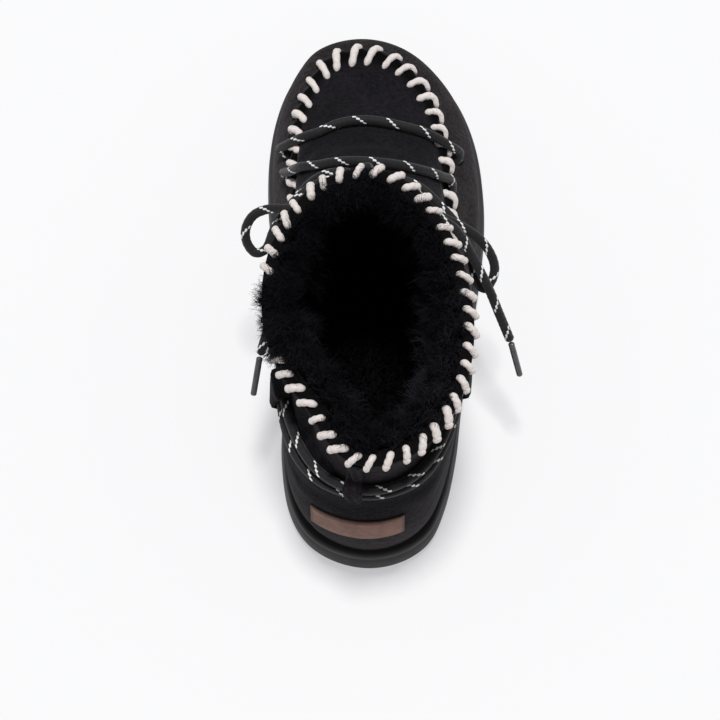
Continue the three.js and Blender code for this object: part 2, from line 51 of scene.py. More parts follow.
# Sizes that the solids share
LENGTH = 270.0
GAP = 0.3
WALL = 2.6
HEEL_THICKNESS = 20.0
BALL_THICKNESS = 16.0
TOE_SPRING = 9.0
TOE_BREAK = 78.0
WAIST_LIFT = 2.5
FUR_PILE = 8.0
LACE = 4.4
SEAM = 3
COLLAR = 11
SHAFT_CENTRE = -4.6
COLLAR_TURN = math.radians(7)
SLACK_DEPTH, SLACK_AT, SLACK_SPREAD = 7.0, -0.82, 0.44
RIDGE_HEIGHT, RIDGE_SPREAD = 2.4, 0.24
ROLL_OUT, ROLL_IN, ROLL_CROWN, ROLL_SPREAD = 1.3, 3.4, 1.7, 0.2
ROLL_HALF = (ROLL_OUT + WALL + ROLL_IN) / 2
ROLL_MIDDLE = (ROLL_OUT - WALL - ROLL_IN) / 2
HEEL_SHARE, BALL_SHARE = 0.2, 0.7  # places along the foot that the rings' widths are given for

# Plan of the sole: share of the length from the heel, x at the big-toe side, x at the little-toe side
SOLE_SECTIONS = np.array([
    (0.0, -3.5, -3.5),
    (0.037, -31.0, 22.6),
    (0.1, -41.5, 31.8),
    (0.2, -45.6, 38.0),
    (0.3, -45.2, 41.2),
    (0.45, -46.2, 47.2),
    (0.6, -51.2, 52.9),
    (0.7, -53.8, 53.8),
    (0.8, -53.3, 50.6),
    (0.88, -48.8, 43.0),
    (0.94, -41.0, 31.2),
    (0.98, -30.6, 16.8),
    (1.0, -7.0, -7.0),
])

# Rings of the upper, sole to collar
RING_COLUMNS = (
    "back", "front", "back_rise", "front_rise", "climb", "rear", "fore", "swing", "oval", "shaft",
)
RINGS = np.array([
    (-131.0, 130.5, GAP, GAP, 1, 37.6, 49.6, 0, 0, 40),
    (-133.0, 131.0, 14, 11, 2, 40.0, 50.0, 0.3, 0, 40),
    (-132.6, 126.5, 27, 21, 3, 40.4, 44.6, 1.4, 0, 40),
    (-130.6, 117.0, 40, 27, 4, 40.4, 36.0, 2.6, 0, 40),
    (-128.8, 101.0, 48, 34, 3, 40.2, 34.6, 3.0, 0, 40),
    (-127.4, 81.0, 55, 42, 2.5, 39.8, 35.0, 3.2, 0.05, 40),
    (-126.2, 61.0, 62, 51.5, 2, 39.4, 35.6, 3.4, 0.2, 39.5),
    (-125.2, 43.0, 69, 63, 1.6, 39.0, 36.4, 3.6, 0.45, 39),
    (-124.6, 25.5, 76, 75.5, 1.3, 38.6, 37.0, 3.8, 0.75, 39),
    (-124.3, 14.0, 84, 90.5, 1.1, 39, 38, 4, 1, 40.2),
    (-124.3, 8.0, 92, 109, 1, 40, 40, 4, 1, 42.4),
    (-124.8, 4.5, 100, 129, 1, 41, 41, 4, 1, 45),
])


# The boot's own surface

def smoothstep(x, low, high):
    t = np.clip((x - low) / (high - low), 0, 1)
    return t * t * (3 - 2 * t)


def bell(x, middle, spread):
    return np.exp(-(((x - middle) / spread) ** 2))


def cubic_through(xs, ys, x):
    """Cubic through the points, with the slope of the neighbours at each point."""
    xs, ys, x = (np.asarray(v, float) for v in (xs, ys, x))
    index = np.arange(len(xs))
    before, after = np.maximum(index - 1, 0), np.minimum(index + 1, len(xs) - 1)
    slope = (ys[after] - ys[before]) / (xs[after] - xs[before])
    i = np.clip(np.searchsorted(xs, x, side="left") - 1, 0, len(xs) - 2)
    span = xs[i + 1] - xs[i]
    t = (x - xs[i]) / span
    return (
        ys[i] * (2 * t**3 - 3 * t**2 + 1)
        + slope[i] * span * (t**3 - 2 * t**2 + t)
        + ys[i + 1] * (3 * t**2 - 2 * t**3)
        + slope[i + 1] * span * (t**3 - t**2)
    )


def turn_at(along):
    return np.arccos(1 - 2 * np.asarray(along, float))


def along_at(turn):
    return (1 - np.cos(turn)) / 2


def once_round(count, start=0.0):
    return np.linspace(start, start + 2 * PI, count, endpoint=False)


def wrapped(turn):
    return (np.asarray(turn, float) + PI) % (2 * PI) - PI


def side_edge(column, other):
    rows = SOLE_SECTIONS
    turns = turn_at(rows[:, 0])
    xs = np.concatenate([[-turns[1]], turns, [2 * PI - turns[-2]]])
    ys = np.concatenate([[rows[1, other]], rows[:, column], [rows[-2, other]]])
    return lambda turn: cubic_through(xs, ys, turn)


medial_edge = side_edge(1, 2)
lateral_edge = side_edge(2, 1)


def sole_half(turn):
    return (lateral_edge(turn) - medial_edge(turn)) / 2


def sole_centre(turn):
    return (lateral_edge(turn) + medial_edge(turn)) / 2


def toe_lift(y):
    return np.where(y > TOE_BREAK, TOE_SPRING * ((y - TOE_BREAK) / (LENGTH / 2 - TOE_BREAK)) ** 2, 0)


def sole_bottom(y):
    return toe_lift(y) + WAIST_LIFT * smoothstep(y, -52, -24) * (1 - smoothstep(y, -8, 18))


def sole_top(y):
    return toe_lift(y) + HEEL_THICKNESS + (BALL_THICKNESS - HEEL_THICKNESS) * smoothstep(y, -70, 50)


def upper_face(turn, level):
    """Outer face of the upper without its ridges: turn 0 is the back, positive on the lateral side."""
    turn, level = np.broadcast_arrays(np.asarray(turn, float), np.asarray(level, float))
    numbers = np.arange(len(RINGS))
    ring = {name: cubic_through(numbers, RINGS[:, i], level) for i, name in enumerate(RING_COLUMNS)}
    side = np.where(turn < 0, -1, 1)
    around = np.abs(turn)
    along = along_at(around)
    heel = ring["rear"] / sole_half(turn_at(HEEL_SHARE))
    ball = ring["fore"] / sole_half(turn_at(BALL_SHARE))
    forward = smoothstep(along, HEEL_SHARE, BALL_SHARE)
    width = heel + (ball - heel) * forward
    swing = ring["swing"] * forward * (1 - smoothstep(along, 0.8, 1))
    foot_x = sole_centre(around) - swing + side * sole_half(around) * width
    flat_y = ring["back"] + (ring["front"] - ring["back"]) * along
    oval_x = SHAFT_CENTRE + side * ring["shaft"] * np.sin(around)
    flat_x = foot_x + (oval_x - foot_x) * ring["oval"]
    slack = smoothstep(level, COLLAR - 4, COLLAR)
    middle = (ring["back"] + ring["front"]) / 2
    twist = COLLAR_TURN * slack
    dx, dy = flat_x - SHAFT_CENTRE, flat_y - middle
    dent = SLACK_DEPTH * slack * bell(turn, SLACK_AT, SLACK_SPREAD) / np.hypot(dx, dy)
    x = SHAFT_CENTRE + dx * np.cos(twist) - dy * np.sin(twist) * np.sin(around) - dent * dx
    y = middle + dy * np.cos(twist) + dx * np.sin(twist) * np.sin(around) - dent * dy
    climb = (ring["front_rise"] - ring["back_rise"]) * along ** ring["climb"]
    z = sole_top(flat_y) + ring["back_rise"] + climb
    return np.stack([x, y, z], -1)


def unit(v):
    return v / np.maximum(np.linalg.norm(v, axis=-1, keepdims=True), 1e-9)


def upper_frame(turn, level, step=0.02):
    """Unit vectors on the upper: outward, along the ring and up the wall."""
    turn = np.asarray(turn, float)
    ahead = unit(upper_face(wrapped(turn + step), level) - upper_face(wrapped(turn - step), level))
    above = upper_face(turn, np.minimum(level + step, COLLAR))
    below = upper_face(turn, np.maximum(level - step, 0))
    up = unit(above - below)
    return unit(np.cross(ahead, up)), ahead, up


def off_upper(turn, level, out):
    out = np.asarray(out, float)
    return upper_face(turn, level) + upper_frame(turn, level)[0] * out[..., None]


def apron_share(turn):
    """0 behind the apron's ends, 1 round the toe."""
    return smoothstep(along_at(np.abs(turn)), 0.56, 0.66)


def seam_ridge(turn, level):
    return RIDGE_HEIGHT * bell(level, SEAM, RIDGE_SPREAD) * apron_share(turn)


def roll_at(level):
    return bell(level, COLLAR, ROLL_SPREAD)


def wall_at(level):
    """Depth of the upper's inner face, thicker at the collar."""
    return WALL + ROLL_IN * roll_at(level)


# Mesh tools

def add_object(name, data):
    made = bpy.data.objects.new(name, data)
    scene.collection.objects.link(made)
    return made


def mesh_piece(name, points, quads, material, tone=None):
    """A piece on the boot from points in millimetres, rows of four corners and a tone for each point."""
    points, quads = np.asarray(points, float), np.asarray(quads, np.int32)
    mesh = bpy.data.meshes.new(name)
    mesh.vertices.add(len(points))
    mesh.vertices.foreach_set("co", (points * MM).ravel())
    mesh.loops.add(quads.size)
    mesh.loops.foreach_set("vertex_index", quads.ravel())
    mesh.polygons.add(len(quads))
    mesh.polygons.foreach_set("loop_start", np.arange(0, quads.size, 4, dtype=np.int32))
    mesh.polygons.foreach_set("use_smooth", np.full(len(quads), True))
    mesh.update(calc_edges=True)
    if tone is not None:
        values = mesh.attributes.new("tone", "FLOAT", "POINT").data
        values.foreach_set("value", np.asarray(tone, np.float32).ravel())
    mesh.materials.append(material)
    piece = add_object(name, mesh)
    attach(piece, "root")
    return piece


def grid_quads(rows, columns, close_columns=False, close_rows=False):
    """Corners of the cells between points listed row by row.

    They face out when rows climb and columns go left.
    """
    r = np.arange(rows if close_rows else rows - 1)
    c = np.arange(columns if close_columns else columns - 1)
    r, c = (v.ravel() for v in np.meshgrid(r, c, indexing="ij"))
    r2, c2 = (r + 1) % rows, (c + 1) % columns
    return np.stack([r * columns + c, r * columns + c2, r2 * columns + c2, r2 * columns + c], 1)


class Joined:
    """Many small meshes gathered into one piece."""

    def __init__(self):
        self.points, self.quads, self.tones, self.count = [], [], [], 0

    def add(self, points, quads, tone=0.0):
        points = np.asarray(points).reshape(-1, 3)
        self.points.append(points)
        self.quads.append(quads + self.count)
        self.tones.append(np.broadcast_to(np.asarray(tone, float), (len(points),)))
        self.count += len(points)

    def piece(self, name, material, slot):
        points, quads, tone = (np.concatenate(rows) for rows in (self.points, self.quads, self.tones))
        return mesh_piece(name, points, quads, material, tone)


def lengths_along(path):
    return np.concatenate([[0], np.cumsum(np.linalg.norm(np.diff(path, axis=0), axis=1))])


def values_along(places, lengths, field):
    return np.stack([np.interp(places, lengths, field[:, k]) for k in range(3)], -1)


def even_steps(path, spacing):
    lengths = lengths_along(path)
    places = np.linspace(0, lengths[-1], max(int(lengths[-1] / spacing), 4) + 1)
    return values_along(places, lengths, path)


def blend(s, low, high, first, last):
    """From first at low to last at high."""
    return (high - s) / (high - low) * first + (s - low) / (high - low) * last


def curve_through(points, spacing):
    """Centripetal curve through the points, cut into even steps."""
    points = np.asarray(points, float)
    ends = np.vstack([2 * points[0] - points[1], points, 2 * points[-1] - points[-2]])
    cuts = 24
    fine = []
    for a, b, c, d in zip(ends, ends[1:], ends[2:], ends[3:]):
        t = np.cumsum([0] + [math.sqrt(np.linalg.norm(q - p)) for p, q in ((a, b), (b, c), (c, d))])
        s = np.linspace(t[1], t[2], cuts, endpoint=False)[:, None]
        ab = blend(s, t[0], t[1], a, b)
        bc = blend(s, t[1], t[2], b, c)
        cd = blend(s, t[2], t[3], c, d)
        abc = blend(s, t[0], t[2], ab, bc)
        bcd = blend(s, t[1], t[3], bc, cd)
        fine.append(blend(s, t[1], t[2], abc, bcd))
    return even_steps(np.vstack(fine + [points[-1:]]), spacing)


def path_frames(path, up=(0.0, -0.37, 0.93)):
    """Tangent, and two cross directions with the first one as near to up as can be."""
    tangent = unit(np.gradient(path, axis=0))
    up = np.asarray(up, float)
    first = unit(up - (tangent @ up)[:, None] * tangent)
    return tangent, first, np.cross(tangent, first)


def sweep(path, radius, sides):
    """Points and quads of a tube; radius is an array over steps, or over steps and sides."""
    _, first, second = path_frames(path)
    angles = once_round(sides)
    radius = np.asarray(radius, float)
    if radius.ndim == 1:
        radius = np.repeat(radius[:, None], sides, 1)
    ring = np.cos(angles)[None, :, None] * first[:, None] + np.sin(angles)[None, :, None] * second[:, None]
    points = path[:, None] + radius[..., None] * ring
    return points.reshape(-1, 3), grid_quads(len(path), sides, close_columns=True)[:, ::-1]


def rounded_ends(steps, full, cap):
    """Radius along a tube with both ends drawn in over cap steps."""
    place = np.arange(steps)
    near = np.minimum(place, steps - 1 - place) / cap
    return full * np.sqrt(np.clip(1 - (1 - np.clip(near, 0.02, 1)) ** 2, 0.0009, 1))


# Materials

def new_material(name, roughness, **constants):
    material = bpy.data.materials.new(name)
    material.use_nodes = True
    tree = material.node_tree
    shader = tree.nodes["Principled BSDF"]
    shader.inputs["Roughness"].default_value = roughness
    for key, value in constants.items():
        shader.inputs[key.replace("_", " ")].default_value = value
    return material, tree, shader


def noise(tree, scale, detail=3.0, distortion=0.0):
    """Noise in the boot's own coordinates; scale is in features per metre."""
    place = tree.nodes.new("ShaderNodeTexCoord").outputs["Object"]
    node = tree.nodes.new("ShaderNodeTexNoise")
    node.inputs["Scale"].default_value = scale
    node.inputs["Detail"].default_value = detail
    node.inputs["Distortion"].default_value = distortion
    tree.links.new(place, node.inputs["Vector"])
    return node.outputs["Fac"]


def ramp(tree, factor, stops):
    node = tree.nodes.new("ShaderNodeValToRGB")
    elements = node.color_ramp.elements
    while len(elements) < len(stops):
        elements.new(0.5)
    for element, (place, colour) in zip(elements, stops):
        element.position = place
        element.color = (*colour, 1.0)
    tree.links.new(factor, node.inputs["Fac"])
    return node.outputs["Color"]


def grey(value):
    return (value, value, value)


def along_boot(tree):
    """Metres along the boot from half a metre behind its middle, which a ramp can read."""
    parts = tree.nodes.new("ShaderNodeSeparateXYZ")
    shifted = tree.nodes.new("ShaderNodeMath")
    shifted.operation = "ADD"
    shifted.inputs[1].default_value = 0.5
    tree.links.new(tree.nodes.new("ShaderNodeTexCoord").outputs["Object"], parts.inputs[0])
    tree.links.new(parts.outputs["Y"], shifted.inputs[0])
    return shifted.outputs[0]


def mix(tree, factor, first, second, blend_type):
    node = tree.nodes.new("ShaderNodeMix")
    node.data_type = "RGBA"
    node.blend_type = blend_type
    for name, value in (("Factor_Float", factor), ("A_Color", first), ("B_Color", second)):
        socket = next(s for s in node.inputs if s.identifier == name)
        if isinstance(value, (int, float)):
            socket.default_value = value
        else:
            tree.links.new(value, socket)
    return next(s for s in node.outputs if s.identifier == "Result_Color")


def dimmed(tree, colour, share, factor, low, high):
    """The colour darkened by a grey ramp between two stops, each a place and a value."""
    stops = [(place, grey(value)) for place, value in (low, high)]
    return mix(tree, share, colour, ramp(tree, factor, stops), "MULTIPLY")


def paint(tree, shader, colour):
    tree.links.new(colour, shader.inputs["Base Color"])


def tone_of(tree):
    node = tree.nodes.new("ShaderNodeAttribute")
    node.attribute_name = "tone"
    return node.outputs["Fac"]


def bump(tree, shader, heights):
    """Stacked bumps: pairs of a height and its depth in metres."""
    normal = None
    for height, depth in heights:
        node = tree.nodes.new("ShaderNodeBump")
        node.inputs["Strength"].default_value = 1.0
        node.inputs["Distance"].default_value = depth
        tree.links.new(height, node.inputs["Height"])
        if normal is not None:
            tree.links.new(normal, node.inputs["Normal"])
        normal = node.outputs["Normal"]
    tree.links.new(normal, shader.inputs["Normal"])


def suede_material():
    """Black napped suede by tone: 0 is painted shade on the inner face, about 0.1 the dark pinched edges,
    0.33 the apron and 1 the lighter side walls.
    """
    material, tree, shader = new_material(
        "suede", 0.95, Sheen_Weight=0.10, Sheen_Roughness=0.4, Sheen_Tint=(0.5, 0.47, 0.48, 1),
        Specular_IOR_Level=0.12)
    patches = noise(tree, 55, 4, 0.6)
    nap = noise(tree, 620, 5, 0.4)
    # Tone 0 is painted shade for the inner face of the upper.
    colour = ramp(tree, tone_of(tree), [
        (0.0, grey(0.0006)), (0.1, (0.0045, 0.0035, 0.0035)), (0.33, (0.0185, 0.0165, 0.0220)),
        (1.0, (0.0480, 0.0410, 0.0455))])
    colour = dimmed(tree, colour, 0.85, patches, (0.3, 0.5), (0.75, 1.0))
    colour = dimmed(tree, colour, 0.9, nap, (0.32, 0.25), (0.70, 1.0))
    dust = ramp(tree, noise(tree, 900, 2), [(0.74, grey(0.0)), (0.8, grey(0.05))])
    paint(tree, shader, mix(tree, 1.0, colour, dust, "ADD"))
    bump(tree, shader, [(patches, 0.0010), (nap, 0.00042), (noise(tree, 2600, 2), 0.00015)])
    return material


def foam_material():
    """Moulded foam rubber: matt, with a fine speckle, and painted shade that darkens it at the heel."""
    material, tree, shader = new_material("sole_foam", 0.62, Specular_IOR_Level=0.35)
    speckle = noise(tree, 1500, 3)
    cloud = noise(tree, 35, 3)
    colour = ramp(tree, cloud, [(0.3, (0.031, 0.030, 0.034)), (0.7, (0.045, 0.043, 0.048))])
    colour = dimmed(tree, colour, 0.5, speckle, (0.35, 0.7), (0.7, 1.0))
    # Painted shade: the sole darkens towards the back of the heel.
    paint(tree, shader, dimmed(tree, colour, 1.0, along_boot(tree), (0.375, 0.42), (0.43, 1.0)))
    tree.links.new(ramp(tree, cloud, [(0.3, grey(0.5)), (0.7, grey(0.72))]), shader.inputs["Roughness"])
    bump(tree, shader, [(speckle, 0.00012), (noise(tree, 300, 3), 0.00012)])
    return material


def yarn_material():
    """Cream waxed yarn of the whip stitches."""
    material, tree, shader = new_material("stitch_yarn", 0.75, Sheen_Weight=0.15, Specular_IOR_Level=0.25)
    fibre = noise(tree, 900, 4, 0.3)
    colour = ramp(tree, fibre, [(0.25, (0.72, 0.65, 0.62)), (0.6, (0.90, 0.83, 0.80))])
    paint(tree, shader, colour)
    bump(tree, shader, [(fibre, 0.00016), (noise(tree, 3500, 2), 0.0001)])
    return material


def fur_material(name, dark, light):
    """Black wool: tone runs from the shaded root (0) to the tip (1)."""
    material, tree, shader = new_material(name, 0.75, Specular_IOR_Level=0.06)
    colour = ramp(tree, tone_of(tree), [(0.0, dark), (1.0, light)])
    paint(tree, shader, dimmed(tree, colour, 0.8, noise(tree, 90, 3), (0.3, 0.55), (0.7, 1.0)))
    return material


def lace_material():
    """Braided black cord: the plait is in the mesh, the fibres are bump."""
    material, tree, shader = new_material("lace_braid", 0.7, Sheen_Weight=0.2, Specular_IOR_Level=0.3)
    fibre = noise(tree, 2200, 3)
    colour = ramp(tree, fibre, [(0.3, (0.007, 0.0066, 0.0080)), (0.7, (0.019, 0.0178, 0.0210))])
    # Painted shade: the tone darkens the cord between its plait strands.
    paint(tree, shader, dimmed(tree, colour, 1.0, tone_of(tree), (0.0, 0.5), (1.0, 1.0)))
    bump(tree, shader, [(fibre, 0.00018)])
    return material


def speckled_material(name, roughness, grain, stops, depth, **constants):
    """A colour that varies with a fine grain, which is also its bump."""
    material, tree, shader = new_material(name, roughness, **constants)
    speckle = noise(tree, *grain)
    paint(tree, shader, ramp(tree, speckle, stops))
    bump(tree, shader, [(speckle, depth)])
    return material


def leather_material():
    """Plain brown label leather, rubbed lighter in patches."""
    material, tree, shader = new_material("label_leather", 0.62, Specular_IOR_Level=0.35)
    grain = noise(tree, 700, 4, 0.5)
    rub = noise(tree, 120, 4, 0.8)
    colour = ramp(tree, rub, [(0.25, (0.19, 0.088, 0.062)), (0.75, (0.32, 0.165, 0.122))])
    colour = dimmed(tree, colour, 0.6, grain, (0.3, 0.6), (0.7, 1.0))
    paint(tree, shader, dimmed(tree, colour, 1.0, tone_of(tree), (0.0, 0.35), (1.0, 1.0)))
    bump(tree, shader, [(grain, 0.0003), (rub, 0.0004)])
    return material


SUEDE = suede_material()
FOAM = foam_material()
YARN = yarn_material()
FUR = fur_material("shearling_fur", (0.0022, 0.0021, 0.0027), (0.0680, 0.0620, 0.0800))
# Black wool, made near black with painted shade deep inside the boot.
FUR_BASE = fur_material("shearling_base", (0.0006, 0.0006, 0.0007), (0.0012, 0.0012, 0.0014))
BRAID = lace_material()
FLECK = speckled_material("lace_fleck", 0.6, (3000, 2), [(0.3, grey(0.72)), (0.6, grey(0.95))], 0.0001)
LABEL_LEATHER = leather_material()
AGLET = speckled_material(
    "aglet_plastic", 0.38, (500, 3), [(0.3, (0.07, 0.066, 0.07)), (0.7, (0.11, 0.104, 0.11))], 0.00006,
    Coat_Weight=0.2)


# Camera and light

IMAGE_SIZE = 720
FOCAL_PIXELS = 2600.0
ELEVATION = math.radians(68.0)
CAMERA_DISTANCE = 1272.75
CAMERA_AIM = (-8.0, -27.04, 0.0)


def make_camera():
    data = bpy.data.cameras.new("camera")
    data.sensor_width = SENSOR_WIDTH
    data.lens = data.sensor_width * FOCAL_PIXELS / IMAGE_SIZE
    data.clip_start = 0.01
    camera = add_object("camera", data)
    back = Vector((0, -math.cos(ELEVATION), math.sin(ELEVATION)))
    camera.location = (Vector(CAMERA_AIM) + CAMERA_DISTANCE * back) * MM
    camera.rotation_euler = back.to_track_quat("Z", "Y").to_euler()
    scene.camera = camera


SUN_ELEVATION = math.radians(83)
SUN_SPREAD = math.radians(10)
SUN_SHARE = 0.80
WORLD_SHARE = 0.22
FLOOR_PAINT = 0.50
FLOOR_GLOW = 0.455
FLOOR_REACH = 6.0
FLOOR_TINT = (1.0, 1.0, 1.02, 1.0)
WORLD_TINT = (0.97, 0.98, 1.0, 1)
SENSOR_WIDTH = 36.0


def make_sun():
    """A large soft light from above the toe; its share is what it gives a level white floor."""
    data = bpy.data.lights.new("sun", "SUN")
    data.energy = SUN_SHARE * PI / math.sin(SUN_ELEVATION)
    data.angle = SUN_SPREAD
    sun = add_object("sun", data)
    towards = Vector((0, math.cos(SUN_ELEVATION), math.sin(SUN_ELEVATION)))
    sun.rotation_euler = towards.to_track_quat("Z", "Y").to_euler()


def make_floor():
    """Back-lit white paper."""
    corners = [(FLOOR_REACH * x, FLOOR_REACH * y, 0) for x, y in ((-1, -1), (1, -1), (1, 1), (-1, 1))]
    mesh = bpy.data.meshes.new("floor")
    mesh.from_pydata(corners, [], [(0, 1, 2, 3)])
    floor = add_object("floor", mesh)
    material, tree, shader = new_material("floor_paper", 0.95, Specular_IOR_Level=0.0)
    tone = ramp(tree, noise(tree, 3, 2), [(0.3, grey(FLOOR_PAINT)), (0.7, grey(FLOOR_PAINT * 1.005))])
    paint(tree, shader, tone)
    shader.inputs["Emission Color"].default_value = FLOOR_TINT
    shader.inputs["Emission Strength"].default_value = FLOOR_GLOW
    mesh.materials.append(material)


def make_studio():
    scene.view_settings.view_transform = "Standard"
    world = bpy.data.worlds.new("studio")
    world.use_nodes = True
    background = world.node_tree.nodes["Background"]
    background.inputs["Color"].default_value = WORLD_TINT
    background.inputs["Strength"].default_value = WORLD_SHARE
    scene.world = world
    make_sun()
    make_floor()


make_camera()
make_studio()


# Lace, on the same routes as the solids'

ROUTES = {
    "lace_bar_front": [
        (-46.7, 63.9, 47.5), (-42.3, 63.6, 54.6), (-35.1, 64, 61.2), (-28.1, 64.6, 64.9), (-19.7, 68.3, 66),
        (-11.4, 70.2, 66.3), (-3.2, 70.4, 66.3), (5, 69.2, 66), (14.3, 67.4, 65), (22.6, 66, 62.5),
        (28.8, 64.6, 59.1), (34.6, 62.7, 55.1), (40.4, 61.8, 47.8),
    ],
    "lace_bar_rear": [
        (-44.7, 49.6, 50.5), (-41.7, 46.5, 59), (-36, 43.2, 71), (-28.9, 41.3, 76.4), (-21.5, 40.4, 81.2),
        (-13.4, 39.5, 84.6), (-5.3, 38.6, 86.2), (2.8, 38, 85.7), (10.9, 38.3, 82.7), (19.1, 38.7, 77.7),
        (26, 39.7, 71.8), (31.3, 41, 64.8), (35.6, 42.5, 57.5),
    ],
    "lace_loop_left": [
        (-12.9, 20.9, 106.2), (-21.1, 11.8, 110.4), (-30.5, 6, 109.6), (-39.5, 5, 105.4), (-49.9, 6.8, 101),
        (-56.9, 5, 98), (-60.5, 0.1, 94), (-60, -5.2, 90), (-56.1, -9.1, 87.5), (-51.5, -7.5, 88),
        (-47.5, 1, 91.5), (-39.5, 12, 95.5), (-27.3, 20.6, 99), (-12.9, 24.4, 98.7),
    ],
    "lace_loop_right": [
        (3.1, 20.9, 106.2), (10, 12, 110.4), (20, 4.5, 109.8), (30, 0.5, 105), (38, -1.5, 100.5),
        (45.5, -4.8, 96), (51, -9.5, 91.5), (53.9, -15.7, 87), (52.9, -20.9, 84), (49.6, -24.7, 82),
        (45.8, -22.5, 84), (43, -13, 90), (38, -1, 95), (31, 7.5, 97.5), (18.2, 19.2, 99.9),
        (3, 24.3, 99.6),
    ],
    "lace_end_left": [
        (-11.9, 28.4, 95.2), (-23.5, 28.8, 92.5), (-33.8, 24.5, 85.7), (-42.3, 9.5, 79.9),
        (-43.6, -7.1, 77.9), (-45, -27.2, 79.1), (-50, -43, 79.5), (-53.9, -55.1, 75),
    ],
    "lace_end_right": [
        (-2, 19.8, 113.4), (7, 12, 116.5), (17, 4, 117), (26.5, -3, 114.5), (34.5, -6.5, 109.5),
        (38.8, -9.2, 103.8), (42.2, -13.7, 98.5), (46.4, -20.4, 94.5), (51.2, -28.5, 89), (56.4, -37, 79),
        (61.7, -45.2, 68),
    ],
}
KNOT_AT = np.array((-5, 24.6, 102.5))
KNOT_SIZE = 0.82
# Turns of the knot: shift to the side, tilt, half width and half height
KNOT_TURNS = ((-2.6, 0.35, 3.2, 4.3), (1.6, -0.3, 3.4, 4.6), (-0.4, 0.05, 2.6, 3.6))
AGLET_TIPS = {"left": (-57.5, -71.6, 62), "right": (65.6, -54, 56)}
AGLET_LENGTH = 19.0
AGLET_DIAMETER = 3.0
LACE_HOLES = [(2.09, 2.3), (-2.12, 2.4), (1.93, 2.66), (-2.0, 2.55), (2.45, 8.4), (-2.45, 7.85)]
BAR_HOLES = {"lace_bar_front": (1, 0), "lace_bar_rear": (3, 2)}
# Strands round the ankle: level behind, level at the knot, hole, turn at the hole and turn at the knot
WRAPS = {"lace_wrap_upper": (7.75, 8.55, 4, 2.35, -2.95), "lace_wrap_lower": (7.0, 8.1, 5, -2.35, 2.95)}
LACE_STAND = 0.5
HOLE_MOUTH, HOLE_END = -1, -5
LACE_SIDES = 20
LACE_STEP = 0.7
PLAIT_PITCH = 5.2
flecks = Joined()


def add_flecks(path, start):
    """White dashes in slanting groups of four, on the upper side and the underside of the lace."""
    _, first, second = path_frames(path)
    steps = lengths_along(path)
    rows, columns = 7, 5
    u, v = np.meshgrid(np.linspace(-1, 1, rows), np.linspace(-1, 1, columns), indexing="ij")
    quads = grid_quads(rows, columns)
    group_pitch, dash_step, dash_half, dash_turn = 16.0, 1.7, 0.98, 0.6
    for group, centre in enumerate(np.arange(start, steps[-1] - 4, group_pitch)):
        for side in (0.0, PI):
            for k in range(4):
                s = centre + (k - 1.5) * dash_step + 8 * (side > 0) + dash_half * u
                angle = side + 0.2 * math.sin(2.3 * group) + (k - 1.5) * dash_turn + 0.28 * v + 0.1 * u
                if s.min() < 1 or s.max() > steps[-1] - 1:
                    continue
                height = LACE / 2 * 1.02 + 0.28 * (1 - np.maximum(np.abs(u) ** 3, np.abs(v) ** 2)) - 0.12
                middle, top, side_on = (values_along(s, steps, field) for field in (path, first, second))
                ring = np.cos(angle)[..., None] * top + np.sin(angle)[..., None] * side_on
                flecks.add(middle + height[..., None] * ring, quads)


def braided(path):
    """Tube of a plaited cord, with a tone of painted shade that is darker between its strands."""
    steps = np.arange(len(path)) * LACE_STEP
    angles = once_round(LACE_SIDES)
    wave = 2 * PI * steps[:, None] / PLAIT_PITCH
    plait = np.sin(4 * angles + wave) * np.sin(4 * angles - wave)
    radius = LACE / 2 * (1 + 0.045 * plait) * rounded_ends(len(path), 1.0, 3)[:, None]
    points, quads = sweep(path, radius, LACE_SIDES)
    return points, quads, 0.5 + 0.5 * plait.ravel()


def lace_piece(name, path, fleck_start):
    points, quads, tone = braided(path)
    piece = mesh_piece(name, points, quads, BRAID, tone)
    add_flecks(path, fleck_start)
    return piece


def hole_point(index, out):
    turn, level = LACE_HOLES[index]
    return off_upper(turn, level, out)


def make_bars():
    """The two bars over the apron, run down through their holes."""
    for name, (first, last) in BAR_HOLES.items():
        rise = [hole_point(first, HOLE_END), hole_point(first, HOLE_MOUTH)]
        fall = [hole_point(last, HOLE_MOUTH), hole_point(last, HOLE_END)]
        piece = lace_piece(name + "_cord", curve_through(rise + ROUTES[name] + fall, LACE_STEP), 9.0)
        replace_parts(piece, name)


def make_wraps():
    """The two strands round the ankle, out of their holes and round to the knot."""
    for name, (behind, knot, hole, start, end) in WRAPS.items():
        turn = np.linspace(start, end, 70)
        level = behind + (knot - behind) * smoothstep(np.abs(turn), 0.9, PI)
        strand = off_upper(turn, level, LACE / 2 + LACE_STAND)
        turn_knot = KNOT_AT + np.array((4 * np.sign(end), 0, 0))
        route = np.vstack([hole_point(hole, HOLE_END), hole_point(hole, 0), strand, turn_knot])
        piece = lace_piece(name + "_cord", curve_through(route, LACE_STEP), 12.0)
        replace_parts(piece, name)


def make_aglet(side):
    """Stiff tip: a crimped tube with a rounded end."""
    end = np.array(ROUTES["lace_end_" + side][-1])
    line = unit(np.array(AGLET_TIPS[side]) - end)
    rows = 60
    path = end + line * (2 * GAP + np.linspace(0, AGLET_LENGTH, rows))[:, None]
    place = np.linspace(0, 1, rows)
    crimp = np.ones(rows)
    for groove in (0.12, 0.2):
        crimp -= 0.05 * bell(place, groove, 0.03)
    points, quads = sweep(path, rounded_ends(rows, AGLET_DIAMETER / 2, 3) * crimp * (1 - 0.06 * place), 20)
    piece = mesh_piece("aglet_tip_" + side, points, quads, AGLET)
    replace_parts(piece, "aglet_" + side)
    return piece


